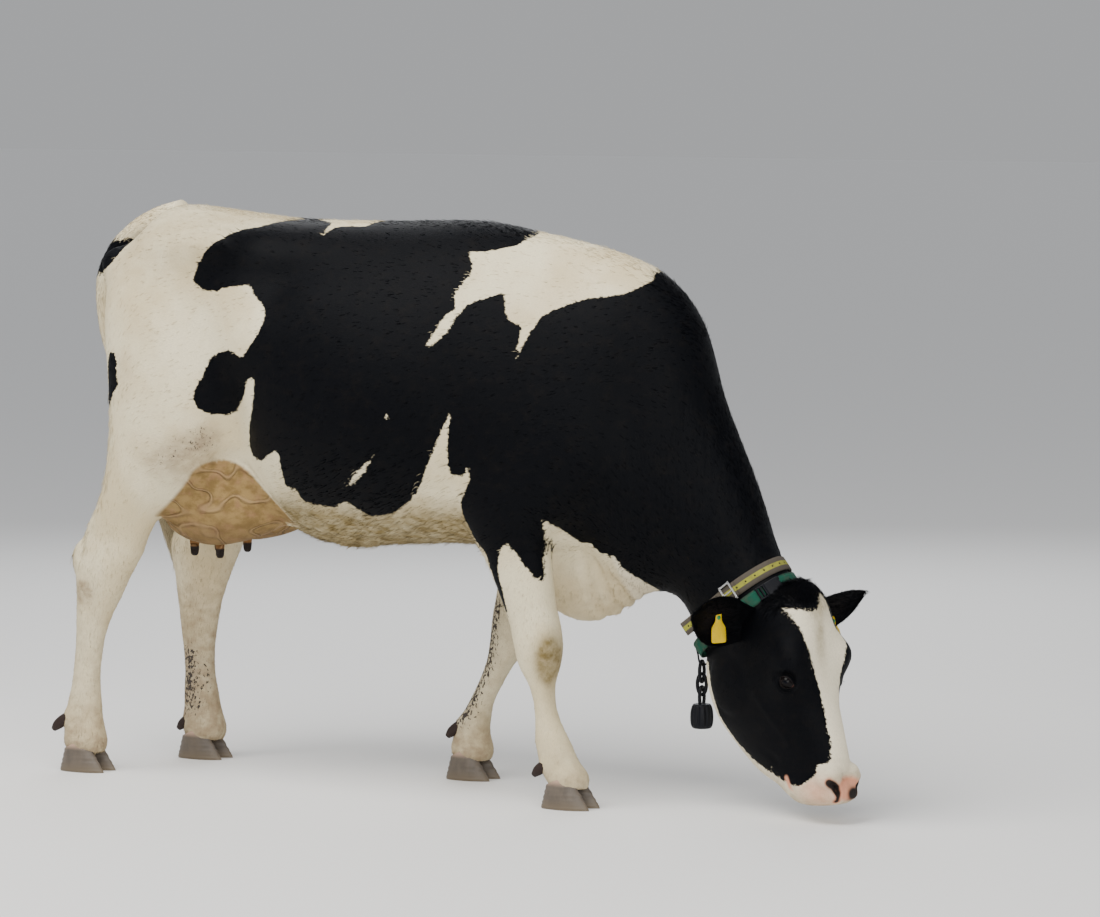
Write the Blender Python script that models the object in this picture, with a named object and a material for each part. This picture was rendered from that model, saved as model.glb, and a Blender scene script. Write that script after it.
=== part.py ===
"""A grazing Holstein-Friesian cow at life size: a still model, head down, with two collars and ear tags.

+X is forward, +Y is the cow's left, +Z is up, and the floor is Z = 0. The flesh is modelled whole from lofts
and rounded lumps, made one skin by a voxel remesh, and then parted with thin cuts.
"""

import math

import bmesh
import bpy
import numpy as np
from mathutils import Matrix, Vector
from mathutils.bvhtree import BVHTree

# Driving dimensions, metres and degrees
GAP = 0.0003  # between neighbouring pieces
VOXEL = 0.010  # grid of the remesh that joins the flesh
FLESH_TRIANGLES = 2900  # after the remesh is thinned
HEAD_TURN = 12.0  # the head is turned this far to the cow's right
TURN_AT = 0.70  # X of the upright line that the head turns about
FORE_Y = 0.17  # lateral place of the front feet
HIND_Y = 0.18  # lateral place of the hind feet
EYE_RADIUS = 0.019
EYE_PLACE = (1.017, 0.093, 0.349)  # left eye, before the head is turned
CLAW_WIDTH = 0.052
SHIFT = (0.0088, 0.0005)  # moves the finished cow so that the origin is under the middle of its box

# Stations. Each row of a side loft is
# (first x, first z, second x, second z, middle y, half width, place of the widest point, power 1, power 2):
# a section through two points of the outline, first the upper or front one, and power 2 is an ellipse.
TRUNK = [
    (-0.99, 1.34, -1.00, 1.05, 0, 0.090, 0.60, 2.0, 2.0),
    (-0.95, 1.41, -0.95, 0.95, 0, 0.160, 0.62, 2.0, 2.0),
    (-0.87, 1.480, -0.87, 0.86, 0, 0.205, 0.66, 1.9, 2.0),
    (-0.75, 1.472, -0.75, 0.79, 0, 0.232, 0.72, 2.3, 2.0),
    (-0.62, 1.457, -0.62, 0.71, 0, 0.248, 0.70, 2.6, 2.0),
    (-0.50, 1.447, -0.50, 0.648, 0, 0.276, 0.56, 2.6, 2.0),
    (-0.35, 1.446, -0.35, 0.610, 0, 0.318, 0.47, 2.2, 2.1),
    (-0.15, 1.450, -0.15, 0.622, 0, 0.345, 0.44, 1.85, 2.1),
    (0.05, 1.455, 0.05, 0.630, 0, 0.325, 0.43, 1.75, 2.1),
    (0.22, 1.430, 0.22, 0.600, 0, 0.280, 0.43, 1.70, 2.0),
    (0.36, 1.405, 0.36, 0.600, 0, 0.240, 0.43, 1.70, 2.0),
    (0.48, 1.372, 0.48, 0.640, 0, 0.212, 0.43, 1.80, 2.0),
    (0.58, 1.310, 0.56, 0.720, 0, 0.165, 0.45, 1.90, 2.0),
]
PELVIS = [
    (-0.50, 1.435, -0.50, 1.27, 0, 0.185, 0.55, 2.2, 2.0),
    (-0.575, 1.442, -0.575, 1.27, 0, 0.250, 0.66, 2.6, 2.0),
    (-0.64, 1.450, -0.65, 1.22, 0, 0.254, 0.70, 2.4, 2.0),
    (-0.74, 1.462, -0.76, 1.12, 0, 0.242, 0.72, 2.1, 2.0),
    (-0.85, 1.446, -0.87, 1.08, 0, 0.222, 0.66, 2.0, 2.0),
    (-0.93, 1.405, -0.95, 1.12, 0, 0.188, 0.64, 2.0, 2.0),
    (-0.985, 1.365, -1.00, 1.18, 0, 0.160, 0.62, 2.2, 2.0),
    (-1.015, 1.335, -1.02, 1.24, 0, 0.130, 0.55, 2.2, 2.0),
]
NECK = [
    (0.40, 1.385, 0.27, 0.70, 0, 0.195, 0.42, 1.8, 2.0),
    (0.535, 1.352, 0.36, 0.62, 0, 0.205, 0.42, 1.8, 2.0),
    (0.632, 1.274, 0.43, 0.56, 0, 0.194, 0.42, 1.8, 2.0),
    (0.684, 1.180, 0.48, 0.53, 0, 0.172, 0.43, 1.8, 2.0),
    (0.720, 1.045, 0.535, 0.534, 0, 0.145, 0.45, 1.9, 2.0),
    (0.773, 0.922, 0.577, 0.533, 0, 0.128, 0.47, 2.0, 2.0),
    (0.824, 0.805, 0.606, 0.524, 0, 0.117, 0.50, 2.1, 2.0),
    (0.864, 0.692, 0.634, 0.502, 0, 0.108, 0.50, 2.1, 2.0),
    (0.914, 0.610, 0.664, 0.456, 0, 0.101, 0.50, 2.1, 2.0),
    (0.965, 0.570, 0.700, 0.405, 0, 0.090, 0.50, 2.1, 2.0),
]
HEAD = [
    (0.985, 0.588, 0.760, 0.530, 0, 0.050, 0.60, 2.0, 2.0),
    (1.015, 0.568, 0.725, 0.490, 0, 0.078, 0.62, 2.2, 2.0),
    (1.040, 0.530, 0.712, 0.445, 0, 0.094, 0.66, 2.4, 2.0),
    (1.050, 0.470, 0.696, 0.390, 0, 0.101, 0.72, 2.6, 2.0),
    (1.057, 0.405, 0.694, 0.335, 0, 0.104, 0.76, 2.6, 2.0),
    (1.068, 0.345, 0.709, 0.278, 0, 0.103, 0.70, 2.4, 2.0),
    (1.080, 0.290, 0.737, 0.226, 0, 0.092, 0.62, 2.2, 2.0),
    (1.097, 0.242, 0.776, 0.182, 0, 0.078, 0.60, 2.2, 2.0),
    (1.111, 0.195, 0.819, 0.142, 0, 0.069, 0.60, 2.2, 2.1),
    (1.121, 0.155, 0.868, 0.106, 0, 0.064, 0.58, 2.3, 2.2),
    (1.124, 0.120, 0.924, 0.082, 0, 0.066, 0.58, 2.4, 2.3),
    (1.133, 0.092, 0.958, 0.060, 0, 0.067, 0.60, 2.5, 2.4),
    (1.135, 0.066, 0.988, 0.044, 0, 0.060, 0.60, 2.5, 2.4),
    (1.114, 0.048, 1.020, 0.038, 0, 0.040, 0.60, 2.3, 2.2),
]
BRISKET = [
    (0.14, 0.76, 0.15, 0.580, 0, 0.090, 0.5, 2.0, 2.0),
    (0.22, 0.80, 0.235, 0.495, 0, 0.105, 0.45, 2.0, 2.0),
    (0.30, 0.85, 0.300, 0.455, 0, 0.105, 0.40, 2.0, 1.9),
    (0.36, 0.88, 0.360, 0.448, 0, 0.096, 0.38, 2.0, 1.8),
    (0.43, 0.85, 0.430, 0.470, 0, 0.082, 0.38, 2.0, 1.8),
    (0.50, 0.80, 0.500, 0.514, 0, 0.068, 0.38, 2.0, 1.8),
    (0.56, 0.74, 0.560, 0.540, 0, 0.052, 0.38, 2.0, 1.8),
]
UDDER = [
    (-0.915, 0.90, -0.900, 0.760, 0.050, 0.045, 0.5, 2.0, 2.0),
    (-0.870, 0.93, -0.865, 0.670, 0.070, 0.068, 0.5, 2.0, 2.0),
    (-0.800, 0.94, -0.805, 0.618, 0.082, 0.088, 0.42, 2.0, 2.1),
    (-0.710, 0.93, -0.710, 0.598, 0.088, 0.098, 0.40, 2.0, 2.2),
    (-0.620, 0.90, -0.620, 0.610, 0.086, 0.096, 0.40, 2.0, 2.2),
    (-0.540, 0.85, -0.535, 0.640, 0.078, 0.084, 0.42, 2.0, 2.1),
    (-0.460, 0.80, -0.455, 0.680, 0.062, 0.062, 0.5, 2.0, 2.0),
]
NEAR_FORE = [
    (0.430, 1.335, 0.240, 1.350, -0.050, 0.045, 0.5, 2.2, 2.2),
    (0.480, 1.220, 0.200, 1.240, -0.106, 0.072, 0.5, 2.2, 2.2),
    (0.515, 1.040, 0.165, 1.090, -0.145, 0.086, 0.5, 2.2, 2.2),
    (0.520, 0.900, 0.115, 0.970, -0.165, 0.092, 0.55, 2.2, 2.2),
    (0.475, 0.800, 0.080, 0.870, -0.176, 0.090, 0.5, 2.2, 2.2),
    (0.405, 0.735, 0.078, 0.790, -0.182, 0.084, 0.5, 2.2, 2.2),
    (0.345, 0.688, 0.100, 0.700, -0.180, 0.073, 0.55, 2.2, 2.2),
    (0.338, 0.614, 0.156, 0.614, -0.175, 0.060, 0.55, 2.2, 2.2),
    (0.346, 0.517, 0.200, 0.517, -0.172, 0.052, 0.55, 2.2, 2.2),
    (0.358, 0.453, 0.223, 0.453, -0.170, 0.050, 0.60, 2.4, 2.2),
    (0.363, 0.396, 0.236, 0.396, -0.170, 0.051, 0.65, 2.6, 2.2),
    (0.356, 0.345, 0.250, 0.345, -0.170, 0.042, 0.65, 2.4, 2.2),
    (0.346, 0.300, 0.277, 0.300, -0.170, 0.033, 0.60, 2.2, 2.2),
    (0.350, 0.245, 0.293, 0.245, -0.170, 0.031, 0.55, 2.2, 2.2),
    (0.370, 0.198, 0.296, 0.198, -0.170, 0.034, 0.50, 2.2, 2.2),
    (0.394, 0.155, 0.297, 0.155, -0.170, 0.040, 0.50, 2.2, 2.2),
    (0.412, 0.118, 0.310, 0.118, -0.170, 0.041, 0.50, 2.2, 2.2),
    (0.435, 0.085, 0.325, 0.085, -0.170, 0.047, 0.50, 2.3, 2.3),
    (0.440, 0.050, 0.345, 0.050, -0.170, 0.044, 0.50, 2.3, 2.3),
]
FAR_FORE = [
    (0.420, 1.335, 0.220, 1.350, 0.050, 0.045, 0.5, 2.2, 2.2),
    (0.460, 1.220, 0.170, 1.240, 0.106, 0.072, 0.5, 2.2, 2.2),
    (0.485, 1.040, 0.115, 1.090, 0.145, 0.086, 0.5, 2.2, 2.2),
    (0.470, 0.920, 0.065, 0.960, 0.165, 0.092, 0.55, 2.2, 2.2),
    (0.410, 0.830, 0.020, 0.860, 0.178, 0.090, 0.5, 2.2, 2.2),
    (0.325, 0.760, 0.002, 0.775, 0.182, 0.084, 0.5, 2.2, 2.2),
    (0.250, 0.700, -0.002, 0.700, 0.180, 0.073, 0.55, 2.2, 2.2),
    (0.205, 0.620, 0.005, 0.610, 0.175, 0.060, 0.55, 2.2, 2.2),
    (0.155, 0.525, -0.005, 0.505, 0.172, 0.052, 0.55, 2.2, 2.2),
    (0.128, 0.460, -0.017, 0.440, 0.170, 0.050, 0.60, 2.4, 2.2),
    (0.108, 0.405, -0.024, 0.385, 0.170, 0.051, 0.65, 2.6, 2.2),
    (0.078, 0.348, -0.034, 0.325, 0.170, 0.042, 0.65, 2.4, 2.2),
    (0.036, 0.300, -0.050, 0.280, 0.170, 0.033, 0.60, 2.2, 2.2),
    (0.004, 0.248, -0.073, 0.232, 0.170, 0.031, 0.55, 2.2, 2.2),
    (-0.020, 0.205, -0.096, 0.190, 0.170, 0.034, 0.50, 2.2, 2.2),
    (-0.032, 0.160, -0.118, 0.150, 0.170, 0.040, 0.50, 2.2, 2.2),
    (-0.034, 0.120, -0.132, 0.115, 0.170, 0.041, 0.50, 2.2, 2.2),
    (-0.028, 0.085, -0.138, 0.085, 0.170, 0.047, 0.50, 2.3, 2.3),
    (-0.030, 0.050, -0.128, 0.050, 0.170, 0.044, 0.50, 2.3, 2.3),
]
NEAR_HIND = [
    (-0.620, 1.330, -0.985, 1.310, -0.135, 0.085, 0.5, 2.2, 2.2),
    (-0.580, 1.200, -0.995, 1.200, -0.150, 0.103, 0.5, 2.2, 2.2),
    (-0.560, 1.080, -0.980, 1.090, -0.160, 0.110, 0.5, 2.2, 2.2),
    (-0.560, 0.965, -0.965, 0.980, -0.172, 0.108, 0.5, 2.2, 2.2),
    (-0.585, 0.875, -0.962, 0.885, -0.180, 0.098, 0.5, 2.2, 2.2),
    (-0.665, 0.795, -0.970, 0.805, -0.185, 0.083, 0.5, 2.2, 2.2),
    (-0.745, 0.735, -0.984, 0.745, -0.186, 0.069, 0.5, 2.2, 2.2),
    (-0.808, 0.683, -1.009, 0.683, -0.184, 0.057, 0.5, 2.2, 2.2),
    (-0.848, 0.625, -1.050, 0.625, -0.182, 0.050, 0.55, 2.2, 1.7),
    (-0.868, 0.580, -1.082, 0.580, -0.180, 0.050, 0.60, 2.2, 1.7),
    (-0.890, 0.545, -1.085, 0.545, -0.180, 0.050, 0.60, 2.2, 1.8),
    (-0.914, 0.505, -1.071, 0.505, -0.180, 0.046, 0.60, 2.2, 2.0),
    (-0.937, 0.460, -1.069, 0.460, -0.180, 0.041, 0.60, 2.2, 2.1),
    (-0.965, 0.410, -1.070, 0.410, -0.180, 0.036, 0.55, 2.2, 2.2),
    (-0.988, 0.350, -1.073, 0.350, -0.180, 0.031, 0.55, 2.2, 2.2),
    (-1.000, 0.285, -1.078, 0.285, -0.180, 0.030, 0.50, 2.2, 2.2),
    (-1.004, 0.230, -1.085, 0.230, -0.180, 0.032, 0.50, 2.2, 2.2),
    (-1.001, 0.175, -1.098, 0.175, -0.180, 0.039, 0.50, 2.2, 2.2),
    (-0.998, 0.135, -1.103, 0.135, -0.180, 0.041, 0.50, 2.2, 2.2),
    (-0.990, 0.085, -1.105, 0.085, -0.180, 0.047, 0.50, 2.3, 2.3),
    (-0.995, 0.050, -1.095, 0.050, -0.180, 0.044, 0.50, 2.3, 2.3),
]
FAR_HIND = [
    (-0.620, 1.330, -0.990, 1.310, 0.140, 0.090, 0.5, 2.2, 2.2),
    (-0.565, 1.200, -1.008, 1.200, 0.155, 0.108, 0.5, 2.2, 2.2),
    (-0.530, 1.080, -0.993, 1.090, 0.165, 0.113, 0.5, 2.2, 2.2),
    (-0.520, 0.965, -0.972, 0.980, 0.175, 0.108, 0.5, 2.2, 2.2),
    (-0.535, 0.875, -0.953, 0.885, 0.182, 0.098, 0.5, 2.2, 2.2),
    (-0.600, 0.795, -0.945, 0.805, 0.186, 0.084, 0.5, 2.2, 2.2),
    (-0.670, 0.735, -0.945, 0.745, 0.186, 0.070, 0.5, 2.2, 2.2),
    (-0.725, 0.680, -0.955, 0.690, 0.184, 0.057, 0.5, 2.2, 2.2),
    (-0.765, 0.625, -0.985, 0.630, 0.182, 0.050, 0.55, 2.2, 1.7),
    (-0.785, 0.585, -1.010, 0.585, 0.180, 0.050, 0.60, 2.2, 1.7),
    (-0.805, 0.545, -1.012, 0.545, 0.180, 0.050, 0.60, 2.2, 1.8),
    (-0.824, 0.505, -1.002, 0.505, 0.180, 0.046, 0.60, 2.2, 2.0),
    (-0.842, 0.460, -0.995, 0.460, 0.180, 0.041, 0.60, 2.2, 2.1),
    (-0.855, 0.410, -0.988, 0.410, 0.180, 0.036, 0.55, 2.2, 2.2),
    (-0.870, 0.350, -0.981, 0.350, 0.180, 0.032, 0.55, 2.2, 2.2),
    (-0.878, 0.285, -0.972, 0.285, 0.180, 0.030, 0.50, 2.2, 2.2),
    (-0.878, 0.230, -0.967, 0.230, 0.180, 0.032, 0.50, 2.2, 2.2),
    (-0.870, 0.175, -0.968, 0.175, 0.180, 0.039, 0.50, 2.2, 2.2),
    (-0.862, 0.135, -0.967, 0.135, 0.180, 0.041, 0.50, 2.2, 2.2),
    (-0.850, 0.085, -0.965, 0.085, 0.180, 0.047, 0.50, 2.3, 2.3),
    (-0.857, 0.050, -0.957, 0.050, 0.180, 0.044, 0.50, 2.3, 2.3),
]
TEAT_LENGTH = 0.075  # with the part inside the udder
TEAT_RADIUS = 0.0125
TEAT_TIP = 0.570
TEATS = [
    ("teat_fore_left", -0.715, 0.088),
    ("teat_fore_right", -0.688, -0.088),
    ("teat_hind_left", -0.785, 0.058),
    ("teat_hind_right", -0.785, -0.058),
]
TEAT_PROFILE = [(0.0, 0.45), (0.04, 0.78), (0.3, 0.92), (0.6, 1.05), (1.0, 1.25)]
# The tail's middle line: x, y, z and radius.
TAIL = [
    (-0.850, 0.000, 1.446, 0.045),
    (-0.920, 0.000, 1.428, 0.043),
    (-0.988, 0.000, 1.396, 0.040),
    (-1.052, 0.002, 1.345, 0.035),
    (-1.094, 0.006, 1.268, 0.030),
    (-1.106, 0.030, 1.140, 0.025),
    (-1.086, 0.078, 0.980, 0.021),
    (-1.058, 0.135, 0.820, 0.020),
    (-1.046, 0.190, 0.700, 0.022),
    (-1.050, 0.230, 0.610, 0.023),
    (-1.054, 0.248, 0.545, 0.015),
    (-1.055, 0.252, 0.512, 0.005),
]
TAIL_CUTS = (1.22, 0.80)  # heights where the tail is parted
# Each row of an ear: upper edge, lower edge, how far and which way its middle is cupped back, and thickness.
EARS = {
    "ear_left": [
        (0.915, 0.070, 0.505, 0.885, 0.070, 0.450, -0.030, 0.010, 0.005, 0.020),
        (0.925, 0.120, 0.518, 0.880, 0.115, 0.440, -0.034, 0.010, 0.004, 0.009),
        (0.940, 0.170, 0.535, 0.895, 0.165, 0.436, -0.030, 0.006, 0.003, 0.006),
        (0.950, 0.225, 0.543, 0.911, 0.220, 0.450, -0.022, 0.004, 0.002, 0.005),
        (0.951, 0.270, 0.541, 0.928, 0.265, 0.479, -0.012, 0.002, 0.000, 0.004),
        (0.948, 0.300, 0.536, 0.942, 0.298, 0.520, -0.004, 0.000, 0.000, 0.003),
    ],
    "ear_right": [
        (0.905, -0.070, 0.515, 0.875, -0.070, 0.445, -0.030, -0.010, 0.005, 0.020),
        (0.905, -0.120, 0.535, 0.862, -0.115, 0.435, -0.034, -0.010, 0.004, 0.009),
        (0.905, -0.170, 0.555, 0.858, -0.165, 0.430, -0.032, -0.006, 0.003, 0.006),
        (0.900, -0.225, 0.560, 0.860, -0.220, 0.440, -0.024, -0.004, 0.002, 0.005),
        (0.895, -0.270, 0.548, 0.868, -0.265, 0.466, -0.014, -0.002, 0.000, 0.004),
        (0.888, -0.298, 0.528, 0.878, -0.296, 0.502, -0.004, 0.000, 0.000, 0.003),
    ],
}
CLAW_HEIGHTS = np.array([0.0, 0.010, 0.045, 0.078])
# Each foot: x of the heel and of the toe, middle y, and x and z of the dewclaws.
FEET = {
    "fore_left": (-0.145, -0.015, FORE_Y, -0.122, 0.126),
    "fore_right": (0.325, 0.462, -FORE_Y, 0.322, 0.096),
    "hind_left": (-0.975, -0.838, HIND_Y, -0.955, 0.093),
    "hind_right": (-1.108, -0.972, -HIND_Y, -1.110, 0.122),
}
STRAP_TILT = 37.0  # degrees that the collars rise towards the crest
# Each collar: name, middle of its loop, width, thickness, and how far it sags from the throat.
STRAPS = [
    ("collar_upper", (0.785, 0, 0.535), 0.038, 0.0045, 0.004),
    ("collar_lower", (0.815, 0, 0.497), 0.036, 0.0030, 0.027),
]
BUCKLE_TURN = -76.0  # degrees round the upper collar from the crest
CLIP_TURN = -42.0  # degrees round the lower collar
# The upper collar's free end: degrees round the collar, and how far it stands off.
STRAP_END = [(-66, 0.0), (-80, 0.0), (-94, 0.0), (-108, 0.001), (-120, 0.006), (-131, 0.019), (-140, 0.036)]
# Rings that carry the weight: each a closed path of x, y and z, and the wire's radius.
RINGS = {
    "weight_ring": 0.0024,
    "weight_link_upper": 0.0046,
    "weight_link_lower": 0.0046,
}
# Colour, roughness and metallic share of the pieces whose names start so.
LOOKS = [
    ("udder", ((0.62, 0.42, 0.32), 0.60, 0.0)),
    ("teat", ((0.50, 0.27, 0.16), 0.60, 0.0)),
    ("ear_tag", ((0.90, 0.75, 0.02), 0.45, 0.0)),
    ("ear", ((0.03, 0.03, 0.035), 0.70, 0.0)),
    ("eye", ((0.02, 0.012, 0.01), 0.08, 0.0)),
    ("tail_tip", ((0.62, 0.58, 0.50), 0.80, 0.0)),
    ("tail", ((0.05, 0.05, 0.05), 0.70, 0.0)),
    ("claw", ((0.32, 0.24, 0.16), 0.50, 0.0)),
    ("dewclaw", ((0.08, 0.06, 0.045), 0.50, 0.0)),
    ("collar_upper", ((0.22, 0.20, 0.17), 0.85, 0.0)),
    ("collar_end", ((0.22, 0.20, 0.17), 0.85, 0.0)),
    ("collar_lower", ((0.03, 0.20, 0.12), 0.85, 0.0)),
    ("collar_clip", ((0.02, 0.02, 0.02), 0.45, 0.0)),
    ("buckle", ((0.60, 0.60, 0.60), 0.25, 1.0)),
    ("weight", ((0.02, 0.02, 0.022), 0.50, 0.0)),
    ("head", ((0.04, 0.04, 0.045), 0.65, 0.0)),
    ("neck", ((0.03, 0.03, 0.035), 0.65, 0.0)),
    ("trunk", ((0.05, 0.05, 0.055), 0.65, 0.0)),
    ("fore", ((0.66, 0.62, 0.54), 0.75, 0.0)),
    ("hind", ((0.72, 0.68, 0.60), 0.75, 0.0)),
]
WEIGHT_FOOT = 0.198
WEIGHT_HEIGHT = 0.062
WEIGHT_PROFILE = [(0.0, 0.82), (0.10, 1.0), (0.45, 1.0), (0.80, 0.84), (0.95, 0.78), (1.0, 0.66)]
WEIGHT_RADIUS = 0.029
# Outline of an ear tag, across and down from its pin.
TAG_OUTLINE = [(-8, -12), (8, -12), (9, 10), (21, 25), (22, 62), (-22, 62), (-21, 25), (-9, 10)]
# Each tag: a point before the ear, the way towards the ear, and the tag's own across and down.
TAGS = {
    "ear_tag_right": ("ear_right", (0.886, -0.236, 0.513), (0.45, 0.89, 0.0), (0.09, -0.15, -0.98)),
    "ear_tag_left": ("ear_left", (1.030, 0.170, 0.486), (0.0, 1.0, 0.0), (0.26, 0.0, -0.965)),
}
# Cells that part the flesh: the first face's middle, the turn of the cell's own X about Y, then its length
# and its half sizes across.
CELLS = [
    ("head", (0.803, 0.0, 0.522), 53.0, (0.75, 0.40, 0.26)),
    ("neck", (0.555, 0.0, 0.915), 8.0, (0.60, 0.40, 0.60)),
    ("fore_right_foot", (0.30, -0.25, 0.335), 90.0, (0.40, 0.138, 0.25)),
    ("fore_right_arm", (0.25, -0.25, 0.745), 90.0, (0.50, 0.138, 0.30)),
    ("fore_left_foot", (0.00, 0.25, 0.310), 90.0, (0.40, 0.138, 0.25)),
    ("fore_left_arm", (0.15, 0.25, 0.745), 90.0, (0.50, 0.138, 0.30)),
    ("hind_right_foot", (-1.00, -0.25, 0.470), 90.0, (0.60, 0.20, 0.25)),
    ("hind_right_thigh", (-0.790, -0.245, 0.975), 124.0, (0.70, 0.20, 0.33)),
    ("hind_left_foot", (-0.95, 0.25, 0.470), 90.0, (0.60, 0.20, 0.25)),
    ("hind_left_thigh", (-0.770, 0.245, 0.975), 124.0, (0.70, 0.20, 0.33)),
]
# Rounded lumps where bone or muscle stands out: centre, radii, and the tilt in degrees about Y. Each is
# made on both sides of the body.
LUMPS = [
    ((-0.590, 0.215, 1.382), (0.065, 0.050, 0.044), 0),  # hook bone
    ((-0.990, 0.112, 1.325), (0.055, 0.048, 0.052), 15),  # pin bone
    ((-0.840, 0.170, 1.190), (0.130, 0.085, 0.130), 0),  # hip joint
]
HEAD_LUMPS = [
    ((1.020, 0.081, 0.396), (0.046, 0.043, 0.052), 12),  # brow
    ((0.998, 0.071, 0.345), (0.050, 0.033, 0.050), 12),  # rim of the eye's socket
    ((0.858, 0.052, 0.332), (0.118, 0.048, 0.105), 12),  # cheek
    ((1.095, 0.034, 0.112), (0.038, 0.036, 0.040), 12),  # nostril wing
]


# Hollows and swellings of the skin: centre, radii of the bell, and height. Each is on both sides.
HOLLOWS = [
    ((-0.440, 0.240, 1.270), (0.090, 0.100, 0.085), -0.026),  # hunger hollow before the hook
    ((-0.760, 0.240, 1.330), (0.110, 0.100, 0.060), -0.010),  # between hook and pin
    ((-0.560, 0.260, 0.900), (0.060, 0.100, 0.120), -0.020),  # flank before the stifle
    ((0.120, 0.300, 1.000), (0.060, 0.100, 0.200), -0.010),  # behind the shoulder
    ((0.560, 0.200, 1.020), (0.060, 0.100, 0.160), -0.012),  # before the shoulder
]


def smooth_rows(rows, steps):
    """A Catmull-Rom curve through the rows of numbers, with this many steps between two rows."""
    rows = np.array(rows, float)
    ends = np.vstack([2 * rows[0] - rows[1], rows, 2 * rows[-1] - rows[-2]])
    place = np.linspace(0, len(rows) - 1, (len(rows) - 1) * steps + 1)
    first = np.minimum(place.astype(int), len(rows) - 2)
    t = (place - first)[:, None]
    a, b, c, d = (ends[first + k] for k in range(4))
    return 0.5 * (2 * b + (c - a) * t + (2 * a - 5 * b + 4 * c - d) * t**2 + (3 * b - a - 3 * c + d) * t**3)


def side_rings(rows, steps, around):
    """Rings of points, each a rounded section that runs through the two outline points of its row."""
    rows = smooth_rows(rows, steps)
    first = np.stack([rows[:, 0], rows[:, 4], rows[:, 1]], 1)[:, None]
    second = np.stack([rows[:, 2], rows[:, 4], rows[:, 3]], 1)[:, None]
    half, widest, power_1, power_2 = (rows[:, k][:, None] for k in (5, 6, 7, 8))
    turn = np.linspace(0, 2 * math.pi, around, endpoint=False)[None]
    side, along = np.cos(turn), np.sin(turn)
    power = np.where(along >= 0, power_1, power_2)
    reach = (np.abs(side) ** power + np.abs(along) ** power) ** (-1 / power)
    share = widest + np.where(along >= 0, 1 - widest, widest) * along * reach
    points = second + (first - second) * share[:, :, None]
    points[:, :, 1] += half * side * reach
    return points


def path_rings(rows, steps, around):
    """Rings round a path of (x, y, z, radius) rows."""
    rows = smooth_rows(rows, steps)
    centre = rows[:, :3]
    along = np.gradient(centre, axis=0)
    along /= np.linalg.norm(along, axis=1)[:, None]
    side = np.cross(along, (0.0, 1.0, 0.03))
    side /= np.linalg.norm(side, axis=1)[:, None]
    other = np.cross(along, side)
    turn = np.linspace(0, 2 * math.pi, around, endpoint=False)[None, :, None]
    return centre[:, None] + rows[:, 3][:, None, None] * (np.cos(turn) * side[:, None] + np.sin(turn) * other[:, None])


def turned(points):
    """The points with the head turned to the right, more and more from the middle of the neck to the poll."""
    x, y, z = points[..., 0], points[..., 1], points[..., 2]
    down = 0.6 * (x - 0.62) + 0.8 * (0.95 - z)
    share = np.clip((down - 0.25) / 0.25, 0, 1) * (x > 0.45)
    angle = -math.radians(HEAD_TURN) * share * share * (3 - 2 * share)
    cos, sin = np.cos(angle), np.sin(angle)
    moved = points.copy()
    moved[..., 0] = TURN_AT + (x - TURN_AT) * cos - y * sin
    moved[..., 1] = (x - TURN_AT) * sin + y * cos
    return moved


def new_object(name, points, faces):
    mesh = bpy.data.meshes.new(name)
    mesh.from_pydata([tuple(p) for p in points], [], faces)
    body = bmesh.new()
    body.from_mesh(mesh)
    bmesh.ops.recalc_face_normals(body, faces=body.faces)
    body.to_mesh(mesh)
    body.free()
    made = bpy.data.objects.new(name, mesh)
    bpy.context.scene.collection.objects.link(made)
    return made


def skinned(name, rings):
    """A closed mesh over the rings, with a flat cap at each end."""
    count, around = rings.shape[:2]
    faces = []
    for i in range(count - 1):
        for k in range(around):
            a, b = i * around + k, i * around + (k + 1) % around
            faces.append((a, b, b + around, a + around))
    faces.append(tuple(range(around)))
    faces.append(tuple(range((count - 1) * around, count * around)))
    return new_object(name, rings.reshape(-1, 3), faces)


def lump(name, centre, radii, tilt, head, fine=3):
    body = bmesh.new()
    bmesh.ops.create_icosphere(body, subdivisions=fine, radius=1.0)
    place = Matrix.Translation(centre) @ Matrix.Rotation(math.radians(tilt), 4, "Y") @ Matrix.Diagonal((*radii, 1))
    bmesh.ops.transform(body, matrix=place, verts=body.verts)
    points = np.array([v.co for v in body.verts])
    faces = [tuple(v.index for v in f.verts) for f in body.faces]
    body.free()
    return new_object(name, turned(points) if head else points, faces)


def both_sides(centre):
    x, y, z = centre
    return ((x, y, z), (x, -y, z))


def remove(*objects):
    for old in objects:
        bpy.data.objects.remove(old)


def joined(objects, name):
    points, faces = [], []
    for piece in objects:
        start = len(points)
        points += [tuple(v.co) for v in piece.data.vertices]
        faces += [tuple(i + start for i in f.vertices) for f in piece.data.polygons]
    remove(*objects)
    mesh = bpy.data.meshes.new(name)
    mesh.from_pydata(points, [], faces)
    made = bpy.data.objects.new(name, mesh)
    bpy.context.scene.collection.objects.link(made)
    return made


def applied(target):
    """Replaces the object's mesh with its modified shape."""
    graph = bpy.context.evaluated_depsgraph_get()
    shape = bpy.data.meshes.new_from_object(target.evaluated_get(graph))
    target.modifiers.clear()
    target.data = shape
    return target


def points_of(mesh):
    points = np.empty(len(mesh.vertices) * 3)
    mesh.vertices.foreach_get("co", points)
    return points.reshape(-1, 3)


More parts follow.
